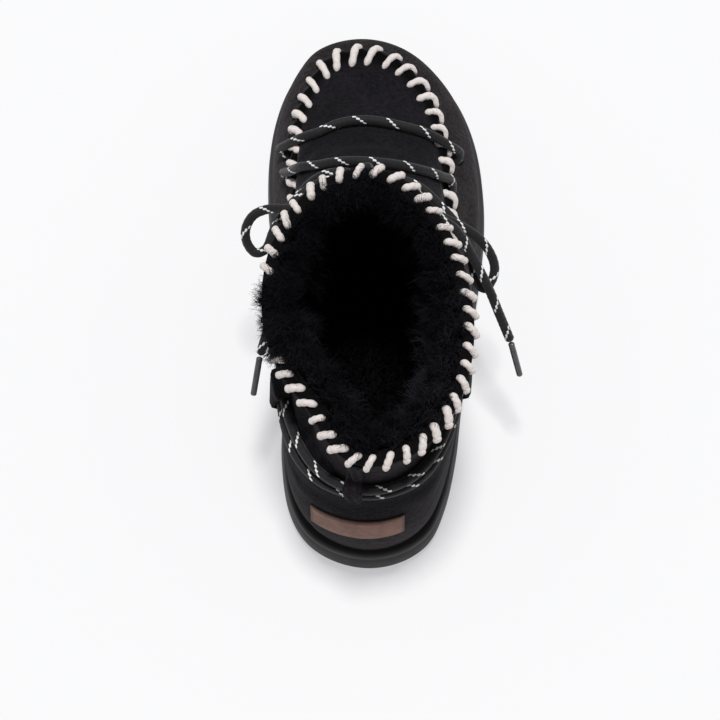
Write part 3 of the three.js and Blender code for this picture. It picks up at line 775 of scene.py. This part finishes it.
def make_bow():
    """Loops and ends of the bow, and the knot that holds them."""
    for side in ("left", "right"):
        name = "lace_loop_" + side
        path = curve_through(ROUTES[name], LACE_STEP)
        piece = lace_piece(name + "_cord", path, 14.0)
        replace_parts(piece, name)
        name = "lace_end_" + side
        path = curve_through(ROUTES[name], LACE_STEP)
        piece = lace_piece(name + "_cord", path, 10.0)
        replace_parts(piece, name)
        make_aglet(side)
    turns = once_round(40)
    knot = Joined()
    for shift, tilt, width, height in KNOT_TURNS:
        across = shift + tilt * height * np.cos(turns)
        loop = np.stack([across, width * np.sin(turns), height * np.cos(turns)], 1)
        path = KNOT_AT + np.vstack([loop, loop[:1]])
        points, quads, tone = braided(even_steps(path, LACE_STEP))
        knot.add(KNOT_AT + (points - KNOT_AT) * KNOT_SIZE, quads, tone)
    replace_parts(knot.piece("lace_knot_cord", BRAID, "lace"), "lace_knot")


make_bars()
make_wraps()
make_bow()
flecks.piece("lace_flecks", FLECK, "lace")


# Upper

UPPER_COLUMNS = 420
OUTER_LEVELS = np.concatenate([
    np.linspace(0, 2.4, 34, endpoint=False), np.linspace(2.4, 3.6, 44, endpoint=False),
    np.linspace(3.6, 10.5, 82, endpoint=False), np.linspace(10.5, 11, 14)])
INNER_LEVELS = np.concatenate([np.linspace(11, 10.5, 8), np.linspace(10.3, 0, 24)])
CROWN_ROWS = 7
APRON_PITCH = 9.7
SEAM_END = 1.72  # turn of the apron seam's ends

# Main creases: middle, direction, half length, half width and depth
CREASES = [
    ((-6, 56, 72), (1, 0.05, 0), 26, 3.4, 0.7),
    ((4, 49, 77), (1, -0.08, -0.05), 22, 2.8, 0.6),
    ((-34, 48, 62), (0.5, 0.8, 0.3), 14, 3.0, 0.8),
    ((33, 44, 62), (-0.5, 0.8, 0.3), 14, 3.0, 0.8),
    ((-30, -100, 104), (-0.5, 0.5, 0.7), 17, 4.5, 1.6),
    ((-20, -116, 98), (-0.7, 0.4, 0.5), 14, 4.0, 0.9),
    ((20, -117, 76), (0.9, 0.4, -0.1), 18, 4.5, 0.8),
    ((-26, -117, 72), (-0.9, 0.4, 0.1), 18, 4.5, 0.8),
    ((40, -36, 84), (0.1, 1, 0.1), 26, 5.0, 1.5),
    ((-46, -34, 84), (-0.1, 1, 0.1), 26, 5.0, 1.5),
    ((38, -64, 106), (0, 1, 0.25), 22, 5.5, 1.2),
    ((44, 20, 46), (0.1, 1, -0.45), 20, 4.5, 1.2),
    ((-48, 22, 46), (-0.1, 1, -0.45), 20, 4.5, 1.2),
    ((6, 22, 96), (1, -0.2, 0.05), 20, 4.0, 1.0),
]


def seam_line():
    """Turns along the apron seam from the medial side over the toe, with the length to each."""
    turn = np.linspace(-SEAM_END, SEAM_END - 2 * PI, 4000)
    return turn, lengths_along(off_upper(wrapped(turn), SEAM, RIDGE_HEIGHT))


SEAM_TURNS, SEAM_LENGTHS = seam_line()


def crease_depth(points):
    """Soft troughs with low shoulders along the listed creases."""
    depth = np.zeros(points.shape[:-1])
    for centre, direction, half, width, deep in CREASES:
        away = points - np.array(centre, float)
        line = unit(np.array(direction, float))
        along = away @ line
        across = np.linalg.norm(away - along[..., None] * line, axis=-1)
        shape = bell(across, 0, width) - 0.45 * bell(across, 2 * width, width)
        depth -= deep * bell(along, 0, half) * shape
    return depth


def hole_depth(points):
    depth = np.zeros(points.shape[:-1])
    for index in range(len(LACE_HOLES)):
        away = np.linalg.norm(points - hole_point(index, 0), axis=-1)
        depth -= 2.4 * np.exp(-((away / 2.5) ** 4))
    return depth


def make_upper():
    """Outer face with ridge, puckers and creases, then the rolled collar's crown and the inner face."""
    turns = once_round(UPPER_COLUMNS, -PI)
    turn, level = np.meshgrid(turns, OUTER_LEVELS)
    base = upper_face(turn, level)
    walk = np.where(turn > 0, turn - 2 * PI, turn)
    place = np.interp(-walk, -SEAM_TURNS, SEAM_LENGTHS)
    pinch = 1 - 0.2 * np.cos(2 * PI * place / APRON_PITCH)
    ridge = seam_ridge(turn, level)
    near_seam = bell(level, SEAM, 0.55) * apron_share(turn)
    pucker = 0.25 * near_seam * np.cos(2 * PI * place / APRON_PITCH)
    out = ridge * pinch - pucker + ROLL_OUT * roll_at(level) + crease_depth(base) + hole_depth(base)
    outer = base + upper_frame(turn, level)[0] * out[..., None]
    rows = [outer]
    tone = np.where(level < SEAM, 1.0, 0.33)
    # Behind the apron the tone holds painted shade and light: painted shade darkens the heel's back above
    # the sole, and painted light lifts the shaft towards the collar.
    behind = 1 - smoothstep(along_at(np.abs(turn)), 0.5, 0.62)
    quarter = 0.95 - 0.65 * smoothstep(level, 1.6, 4.4) + 0.45 * smoothstep(level, 7.0, 9.0)
    tone = tone + (quarter - tone) * behind
    pinched = bell(level - SEAM, 0.12, 0.32) * (1 - behind)
    tone = tone * (1 - 0.8 * pinched) * (1 - 0.7 * roll_at(level))
    tones = [tone]
    normal = upper_frame(turns, COLLAR)[0]
    top = upper_face(turns, COLLAR)
    for share in np.cos(np.linspace(0, PI, CROWN_ROWS + 2)[1:-1]):
        lift = ROLL_CROWN * math.sqrt(1 - share * share)
        rows.append((top + normal * (ROLL_MIDDLE + ROLL_HALF * share) + np.array((0, 0, lift)))[None])
        tones.append(np.full((1, UPPER_COLUMNS), 0.14))
    turn, level = np.meshgrid(turns, INNER_LEVELS)
    rows.append(off_upper(turn, level, -wall_at(level)))
    rows[-1][-1, :, 2] = sole_top(rows[-1][-1, :, 1]) + GAP
    # The inner face has tone 0, near black: painted shade inside the boot.
    tones.append(np.full(turn.shape, 0.0))
    points = np.concatenate(rows)
    quads = grid_quads(len(points), UPPER_COLUMNS, close_columns=True, close_rows=True)
    piece = mesh_piece("suede_upper", points.reshape(-1, 3), quads, SUEDE, np.concatenate(tones))
    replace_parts(piece, "upper")


make_upper()


# Whip stitches

YARN_RADIUS = 1.5
COLLAR_PITCH = 8.0
FUR_COVER = (-1.93, -1.44)  # turns where the fur hides the collar's edge


def stitch(joined, path, radius):
    """One thick stitch of two-ply yarn along a path."""
    sides = 12
    angles = once_round(sides)
    steps = np.arange(len(path))[:, None]
    ply = np.abs(np.sin(angles + 0.42 * steps))
    shape = rounded_ends(len(path), radius, 4)[:, None] * (0.9 + 0.16 * ply)
    points, quads = sweep(path, shape, sides)
    joined.add(points, quads, 0.5)


def make_apron_stitches():
    """Stitches over the seam ridge, slanting off the square by their lean."""
    stitches = Joined()
    across = np.linspace(-1, 1, 26)
    outer_reach, inner_reach, half_lean = 3.6, 6.6, 2.8
    step = 0.02
    for place in np.arange(3.0, SEAM_LENGTHS[-1], APRON_PITCH):
        turn0 = wrapped(np.interp(place + rng.normal(0, 0.35), SEAM_LENGTHS, SEAM_TURNS))
        size = 1 + rng.normal(0, 0.06)
        lean = half_lean * (1 + rng.normal(0, 0.15))
        before, after = (upper_face(wrapped(turn0 + move), SEAM) for move in (-step, step))
        per_turn = (before - after) / (-2 * step)
        per_level = (upper_face(turn0, SEAM + step) - upper_face(turn0, SEAM - step)) / (2 * step)
        forward = unit(-per_turn)
        inward = unit(per_level - (per_level @ forward) * forward)
        move_in = size * across * np.where(across < 0, outer_reach, inner_reach)
        move_along = -lean * across
        to_level = move_in / (per_level @ inward)
        to_turn = (move_along - to_level * (per_level @ forward)) / (per_turn @ forward)
        turn, level = wrapped(turn0 + to_turn), SEAM + to_level
        out = seam_ridge(turn, level) * 0.9 + YARN_RADIUS * (0.8 - 1.8 * np.abs(across) ** 5)
        stitch(stitches, off_upper(turn, level, out), 1.18 * YARN_RADIUS * size)
    stitches.piece("apron_stitches", YARN, "suede")


def make_collar_stitches():
    """Slanting stitches over the bound edge; their inner ends sink into the fur."""
    stitches = Joined()
    turns = np.linspace(-PI, PI, 4001)
    lengths = lengths_along(upper_face(turns, COLLAR))
    count = int(lengths[-1] / COLLAR_PITCH)
    angle = np.linspace(-0.75, 3.0, 30)
    reach, centre = 2.6, -0.4
    for k in range(count):
        place = (k + 0.5) * lengths[-1] / count + rng.normal(0, 0.5)
        middle_turn = np.interp(place, lengths, turns)
        lean = (1.7 + 0.35 * math.exp(-(((middle_turn + 0.85) / 0.6) ** 2))) * (1 + rng.normal(0, 0.25))
        size = 1 + rng.normal(0, 0.08)
        along = place - lean * np.cos(np.clip(angle, 0, PI))
        turn = np.interp(along % lengths[-1], lengths, turns)
        normal, _, up = upper_frame(turn, COLLAR)
        out = centre + reach * np.cos(angle)
        crown = ROLL_CROWN * np.sqrt(np.clip(1 - ((out - ROLL_MIDDLE) / ROLL_HALF) ** 2, 0, 1))
        lift = crown + 0.6 * YARN_RADIUS * np.clip(np.sin(angle), 0, 1) + 3.2 * np.minimum(np.sin(angle), 0)
        lift -= 1.8 * smoothstep(angle, 2.3, 3.0)
        path = upper_face(turn, COLLAR) + normal * out[:, None] + up * lift[:, None]
        if not FUR_COVER[0] < turn[len(turn) // 2] < FUR_COVER[1]:
            stitch(stitches, path, 1.08 * YARN_RADIUS * size)
    stitches.piece("collar_stitches", YARN, "suede")


make_apron_stitches()
make_collar_stitches()


# Sole

SOLE_COLUMNS = 360
# Side of the sole, from below: share of the height, inset from the plan
SOLE_SIDE = np.array([
    (0.0, 3.2), (0.02, 2.4), (0.05, 1.6), (0.1, 0.9), (0.18, 0.3), (0.28, 0.0), (0.42, 0.1), (0.54, 0.35),
    (0.61, 0.6), (0.66, 0.95), (0.70, 1.1), (0.74, 1.1), (0.78, 0.95), (0.81, 0.78), (0.84, 0.72),
    (0.88, 0.75), (0.92, 0.95), (0.955, 1.3), (0.985, 1.9), (1.0, 2.6)])
TREAD_DEPTH, TREAD_WIDTH, TREAD_RIM = 2.6, 3.4, 8.0
TREAD_ROWS = [(22, 104, 9), (-118, -60, 6)]  # first groove, last groove, count


def sole_edge(turn, inset):
    def place(t):
        x = np.where(t < 0, medial_edge(np.abs(t)), lateral_edge(np.abs(t)))
        return np.stack([x, -(LENGTH / 2) * np.cos(t)], -1)
    step = 0.004
    tangent = unit(place(wrapped(turn + step)) - place(wrapped(turn - step)))
    return place(turn) + np.stack([-tangent[..., 1], tangent[..., 0]], -1) * inset[..., None]


def make_sole():
    """Side rows, closed by strips across the underside and the top, then cut for the tread."""
    turns = once_round(SOLE_COLUMNS, -PI)
    turn, row = np.meshgrid(turns, np.arange(len(SOLE_SIDE)))
    edge = sole_edge(turn, SOLE_SIDE[row, 1])
    bottom, top = sole_bottom(edge[..., 1]), sole_top(edge[..., 1])
    height = bottom + (top - bottom) * SOLE_SIDE[row, 0]
    points = np.concatenate([edge, height[..., None]], -1).reshape(-1, 3)
    half = SOLE_COLUMNS // 2
    left = np.arange(1, half - 1)
    strip = np.stack([left, SOLE_COLUMNS - left, SOLE_COLUMNS - left - 1, left + 1], 1)
    top_row = (len(SOLE_SIDE) - 1) * SOLE_COLUMNS
    sides = grid_quads(len(SOLE_SIDE), SOLE_COLUMNS, close_columns=True)
    quads = np.concatenate([sides, strip, strip[:, ::-1] + top_row])
    piece = mesh_piece("foam_sole", points, quads, FOAM)
    tips = []
    for first in (0, top_row):
        tips.append((first, first + SOLE_COLUMNS - 1, first + 1))
        tips.append((first + half, first + half - 1, first + half + 1))
    close_tips(piece.data, tips)
    cut_tread(piece)
    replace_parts(piece, "outsole")


def close_tips(mesh, tips):
    """Adds the small triangles at heel and toe that finish the top and the underside."""
    work = bmesh.new()
    work.from_mesh(mesh)
    work.verts.ensure_lookup_table()
    for corners in tips:
        work.faces.new([work.verts[i] for i in corners])
    bmesh.ops.recalc_face_normals(work, faces=work.faces)
    work.to_mesh(mesh)
    work.free()


def cut_tread(piece):
    """Cross grooves under forefoot and heel."""
    cutters = Joined()
    corners = np.array([(x, y, z) for z in (-1, 1) for y in (-1, 1) for x in (-1, 1)], float)
    faces = np.array([(0, 2, 3, 1), (4, 5, 7, 6), (0, 1, 5, 4), (2, 6, 7, 3), (0, 4, 6, 2), (1, 3, 7, 5)])
    for start, end, count in TREAD_ROWS:
        for y in np.linspace(start, end, count):
            turn = turn_at(y / LENGTH + 0.5)
            low, high = medial_edge(turn) + TREAD_RIM, lateral_edge(turn) - TREAD_RIM
            size = np.array(((high - low) / 2, TREAD_WIDTH / 2, TREAD_DEPTH))
            cutters.add(corners * size + np.array(((low + high) / 2, y, float(sole_bottom(y)))), faces)
    cutter = cutters.piece("tread_cutter", FOAM, "sole_foam")
    boolean = piece.modifiers.new("tread", "BOOLEAN")
    boolean.operation = "DIFFERENCE"
    boolean.solver = "EXACT"
    boolean.object = cutter
    graph = bpy.context.evaluated_depsgraph_get()
    cut = bpy.data.meshes.new_from_object(piece.evaluated_get(graph))
    piece.modifiers.clear()
    piece.data = cut
    bpy.data.objects.remove(cutter)


make_sole()


# Heel label and straps

def patch_piece(name, outer, inner, material, tone):
    """A thin patch from two grids of points, closed round its edge."""
    rows, columns = outer.shape[:2]
    loop = [(0, c) for c in range(columns)] + [(r, columns - 1) for r in range(1, rows)]
    loop += [(rows - 1, c) for c in range(columns - 2, -1, -1)] + [(r, 0) for r in range(rows - 2, 0, -1)]
    edge = np.array([r * columns + c for r, c in loop])
    base = rows * columns
    following = np.roll(edge, -1)
    walls = np.stack([edge, base + edge, base + following, following], 1)
    quads = np.concatenate([grid_quads(rows, columns), grid_quads(rows, columns)[:, ::-1] + base, walls])
    points = np.concatenate([outer.reshape(-1, 3), inner.reshape(-1, 3)])
    return mesh_piece(name, points, quads, material, np.tile(tone.ravel(), 2))


def edge_share(rows, columns, border):
    """0 at the patch's edge, 1 from border onwards, as shares of its size."""
    r, c = np.meshgrid(np.linspace(0, 1, rows), np.linspace(0, 1, columns), indexing="ij")
    ends, sides = (smoothstep(np.minimum(v, 1 - v), 0, width) for v, width in zip((r, c), border))
    return np.minimum(ends, sides)


LABEL = {"from": -0.385, "to": 0.225, "low": 1.72, "high": 3.02, "tilt": 0.35, "thickness": 1.2}


def make_label():
    rows, columns = 24, 64
    turns = np.linspace(LABEL["from"], LABEL["to"], columns)
    up, turn = np.meshgrid(np.linspace(0, 1, rows), turns, indexing="ij")
    level = LABEL["low"] + (LABEL["high"] - LABEL["low"]) * up + LABEL["tilt"] * (turn - LABEL["from"])
    share = edge_share(rows, columns, (0.16, 0.06))
    wave = 0.18 * np.sin(9 * turn + 3 * up) * share
    outer = off_upper(turn, level, GAP + LABEL["thickness"] * (0.55 + 0.45 * share) + wave)
    inner = off_upper(turn, level, 0.05)
    piece = patch_piece("leather_label", outer, inner, LABEL_LEATHER, share)
    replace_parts(piece, "heel_label")


# Side, place and half width, lower and upper level, thickness, the lower strand's levels behind and at the
# knot, and how far below that strand the strap starts to rise
STRAPS = {
    "pull_loop": (0, -10, 3.4, 7.24, 10.8, 2.2, 7.75, 8.55, 0.12),
    "lace_keeper_medial": (-1, -77, 7.5, 5.8, 9.3, 1.8, 6.8, 8.1, 0.5),
    "lace_keeper_lateral": (1, -72, 7.5, 5.8, 9.3, 1.8, 6.8, 8.1, 0.5),
}
STRAP_RISE = LACE + LACE_STAND + 0.5
UPPER_STRAND, UPPER_CLIMB = 7.75, 0.8


def turn_for(side, place, level):
    """The turn where the upper reaches a place: x behind, y on a side."""
    if side:
        back, front = (cubic_through(np.arange(len(RINGS)), RINGS[:, i], level) for i in (0, 1))
        return side * turn_at((place - back) / (front - back))
    step = 0.1
    middle = upper_face(np.zeros_like(level), level)[..., 0]
    return step * (place - middle) / (middle - upper_face(np.full_like(level, -step), level)[..., 0])


def make_straps():
    rows, columns = 60, 18
    for name, (side, at, half, low, high, thickness, behind, knot, ramp_length) in STRAPS.items():
        levels = np.linspace(low, high, rows)
        level, across = np.meshgrid(levels, np.linspace(-1, 1, columns), indexing="ij")
        turn = turn_for(side, at + half * (-across if side < 0 else across), level)
        climb = smoothstep(np.abs(turn), 0.9, PI)
        bottom = behind + (knot - behind) * climb - 0.4
        top = UPPER_STRAND + UPPER_CLIMB * climb + 0.45
        over = smoothstep(level, bottom - ramp_length, bottom) * (1 - smoothstep(level, top, top + 0.6))
        rise = GAP + STRAP_RISE * over + ROLL_OUT * roll_at(level)
        share = edge_share(rows, columns, (0.04, 0.16))
        gather = 0.0 if side else 0.5
        folds = gather * np.sin(7 * across + 2.2 * level) * share
        outer = off_upper(turn, level, rise + thickness * (0.5 + 0.5 * share) + folds)
        inner = off_upper(turn, level, rise - 0.2)
        tone = 0.2 + 0.25 * share + 0.5 * np.abs(folds)
        piece = patch_piece(name + "_suede", outer, inner, SUEDE, tone)
        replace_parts(piece, name)


make_label()
make_straps()


# Shearling

FUR_STEPS = 4
INSOLE_THICKNESS = 4.0
LINING_CLEAR = 0.5
LINING_RISE = 5.5
LINING_FOOT = 6.9
INSOLE_MARGIN = 0.8
RIM_DEPTH = 7.5
SHAFT_STRANDS, RIM_STRANDS, SPILL_STRANDS = 24000, 24000, 7000
FOOT_STRANDS, FOOTBED_STRANDS = 9000, 12000
# Footbed, from its lower edge to its middle: share of the plan and height
FOOTBED_ROWS = ((1.0, 0.0), (1.0, 2.6), (0.985, 3.6), (0.95, 4.0), (0.6, 4.0), (0.25, 4.0), (0.02, 4.0))


def lump_at(turn, level):
    return 1.4 * np.sin(5 * turn + 2 * level) * np.sin(3 * turn - 1.7 * level)


def make_lining():
    """The woolly sleeve that the locks grow from."""
    columns = 200
    turns = once_round(columns, -PI)

    def inset(level, depth, lumps=0):
        turn, level = np.meshgrid(turns, level)
        wall = wall_at(level) + LINING_CLEAR
        return off_upper(turn, level, -(wall + (depth + lumps * lump_at(turn, level))))

    outside = inset(np.linspace(LINING_FOOT, COLLAR, 24), 0)
    rim = []
    for depth, rise in ((0.4, 0.55), (1.6, 0.85), (3.2, 1.0), (4.8, 0.85), (5.8, 0.5)):
        ring = inset([COLLAR], depth)
        ring[..., 2] += (rise - 0.35) * LINING_RISE
        rim.append(ring)
    inside = inset(np.linspace(10.5, 7.0, 20), FUR_PILE * 0.75, 1)
    points = np.concatenate([outside, *rim, inside])
    quads = grid_quads(len(points), columns, close_columns=True, close_rows=True)
    points = points.reshape(-1, 3)
    piece = mesh_piece("shearling_sleeve", points, quads, FUR_BASE, np.zeros(len(points)))
    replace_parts(piece, "shearling_lining")


def strands(name, roots, leans, lengths, widths, tips):
    """Flat wool strands from roots: each bends from its lean and curls, and narrows to its tip."""
    count = len(roots)
    step = np.linspace(0, 1, FUR_STEPS + 1)
    curl = unit(rng.normal(size=(count, 3)))
    phase = rng.uniform(0, 2 * PI, count)
    side = unit(np.cross(leans, curl))
    across = unit(np.cross(leans, side) + 0.4 * curl)
    points, tones = [], []
    for s in step:
        bend = 0.30 * np.sin(2.6 * s * PI + phase) * s ** 0.7 + 0.14 * s * s
        centre = roots + lengths[:, None] * (leans * s + side * bend[:, None])
        width = widths * (1 - 0.85 * s)
        points.append(np.stack([centre - across * width[:, None], centre + across * width[:, None]], 1))
        tones.append(np.repeat((tips * s ** 1.3)[:, None], 2, 1))
    points = np.stack(points, 1).reshape(-1, 3)
    tones = np.stack(tones, 1).ravel()
    base = (np.arange(count) * 2 * (FUR_STEPS + 1))[:, None, None]
    cell = (np.arange(FUR_STEPS) * 2)[None, :, None] + np.array((0, 1, 3, 2))[None, None]
    return mesh_piece(name, points, (base + cell).reshape(-1, 4), FUR, tones)


def clumped(turn, level, spacing):
    """A lean for each strand towards the middle of its lock, from a jittered pattern of locks."""
    u, v = turn * 30 / spacing, level * 9 / spacing
    cell_u, cell_v = np.floor(u), np.floor(v)
    hash_a = np.modf(np.abs(np.sin(cell_u * 12.9898 + cell_v * 78.233) * 43758.5453))[0]
    hash_b = np.modf(np.abs(np.sin(cell_u * 39.346 + cell_v * 11.135) * 24634.6345))[0]
    return (hash_a - (u - cell_u)), (hash_b - (v - cell_v)), hash_a, hash_b


def tuft_light(turn, depth):
    """How much of the light each place in the fur catches: most at the back and on both rear sides."""
    rear = 0.30 + 0.70 * bell(turn, 0.95, 0.75) + 0.3 * bell(turn, -1.1, 0.6)
    return rear * (1 - 0.55 * depth)


def make_shaft_fur():
    """Locks all over the inside of the shaft."""
    count = SHAFT_STRANDS
    turn = rng.uniform(-PI, PI, count)
    level = rng.uniform(LINING_FOOT, 10.9, count)
    to_u, to_v, lock_a, lock_b = clumped(turn, level, 7.0)
    normal, ahead, up = upper_frame(turn, level)
    wall = wall_at(level) + LINING_CLEAR
    roots = off_upper(turn, level, -(wall + FUR_PILE * 0.45 + lump_at(turn, level)))
    leans = -normal + ahead * (1.2 * to_u + 0.8 * (lock_b - 0.5) + 0.2 * rng.normal(size=count))[:, None]
    leans += up * (1.1 * to_v + 0.8 * (lock_a - 0.4) + 0.2 * rng.normal(size=count))[:, None]
    length = rng.uniform(8, 13, count) * (0.7 + 0.7 * lock_b)
    tips = (0.15 + 0.85 * lock_a**1.5) * tuft_light(turn, (11 - level) / 4)
    strands("shearling_shaft", roots, unit(leans), length, rng.uniform(0.16, 0.3, count), tips)


def make_rim_fur():
    """Round the rim, over the inner edge of the collar, and spilling out on the medial side."""
    count = RIM_STRANDS
    everywhere = rng.uniform(-PI, PI, count - SPILL_STRANDS)
    turn = wrapped(np.concatenate([everywhere, rng.normal(-1.62, 0.22, SPILL_STRANDS)]))
    depth = rng.uniform(0.0, RIM_DEPTH, count)
    to_u, _, lock_a, lock_b = clumped(turn, depth * 0.6, 5.5)
    normal, ahead, _ = upper_frame(turn, COLLAR)
    cover = np.exp(-(((turn + 1.6) / 0.3) ** 4))
    roots = off_upper(turn, COLLAR, -(WALL + ROLL_IN + LINING_CLEAR - 1.0 - 2.6 * cover + depth))
    roots[:, 2] += 0.5 * LINING_RISE * np.sin(PI * np.clip(depth / RIM_DEPTH, 0, 1)) - 0.6
    outward = -0.5 + 1.05 * cover * (1 - depth / 9) + 0.5 * (lock_a - 0.5) + 0.3 * rng.normal(size=count)
    outward += 0.55 * (depth < 2.0) * (lock_b > 0.55)
    leans = normal * outward[:, None]
    leans += ahead * (1.0 * to_u + 0.9 * (lock_b - 0.5) + 0.25 * rng.normal(size=count))[:, None]
    leans[:, 2] += 0.7 - 0.25 * cover + 0.25 * rng.normal(size=count)
    length = rng.uniform(5.5, 9.5, count) * (0.75 + 0.5 * lock_b)
    tips = (0.2 + 0.8 * lock_a**1.3) * tuft_light(turn, depth / 12)
    strands("shearling_rim", roots, unit(leans), length, rng.uniform(0.15, 0.27, count), tips)


def make_foot_fur():
    """On the inner wall of the foot, well inside the upper."""
    count = FOOT_STRANDS
    turn = rng.uniform(-PI, PI, count)
    level = rng.uniform(1.2, 6.8, count)
    normal, ahead, up = upper_frame(turn, level)
    roots = off_upper(turn, level, -(WALL + 0.5))
    spread = 0.35 * rng.normal(size=(2, count))
    leans = -normal + ahead * spread[0][:, None] + up * spread[1][:, None]
    length = rng.uniform(4, 6, count)
    width = rng.uniform(0.25, 0.4, count)
    # The low tip tone is painted shade on the wool deep inside the foot.
    strands("shearling_foot", roots, unit(leans), length, width, np.full(count, 0.2))


def make_footbed_wool():
    """Short wool standing on the footbed."""
    count = FOOTBED_STRANDS
    turn = rng.uniform(-PI, PI, count)
    share = 0.97 * np.sqrt(rng.uniform(0, 1, count))
    rim = off_upper(turn, 0, -(WALL + INSOLE_MARGIN))
    roots = rim * share[:, None]
    roots[:, 2] = sole_top(roots[:, 1]) + GAP + INSOLE_THICKNESS - 0.3
    leans = np.array((0.0, 0.0, 1.0)) + 0.45 * rng.normal(size=(count, 3))
    length = rng.uniform(4, 8, count)
    width = rng.uniform(0.25, 0.45, count)
    # The low tip tone is painted shade on the wool at the bottom of the boot.
    strands("shearling_footbed", roots, unit(leans), length, width, np.full(count, 0.12))


def make_insole():
    """Footbed with a wool face."""
    columns = 120
    turns = once_round(columns, -PI)
    rim = off_upper(turns, 0, -(WALL + INSOLE_MARGIN))
    centre = np.array((-2.0, 0.0, 0.0))
    rows = []
    for share, rise in FOOTBED_ROWS:
        ring = centre + (rim - centre) * np.array((share, share, 1.0))
        ring[:, 2] = sole_top(ring[:, 1]) + GAP + rise
        rows.append(ring)
    floor_rows = [ring.copy() for ring in rows[:3:-1]]
    for ring in floor_rows:
        ring[:, 2] -= INSOLE_THICKNESS
    points = np.concatenate(floor_rows + rows)
    quads = grid_quads(len(floor_rows) + len(rows), columns, close_columns=True)
    piece = mesh_piece("wool_footbed", points, quads, FUR_BASE, np.zeros(len(points)))
    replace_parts(piece, "insole")


make_lining()
make_shaft_fur()
make_rim_fur()
make_foot_fur()
make_footbed_wool()
make_insole()

bpy.context.view_layer.update()
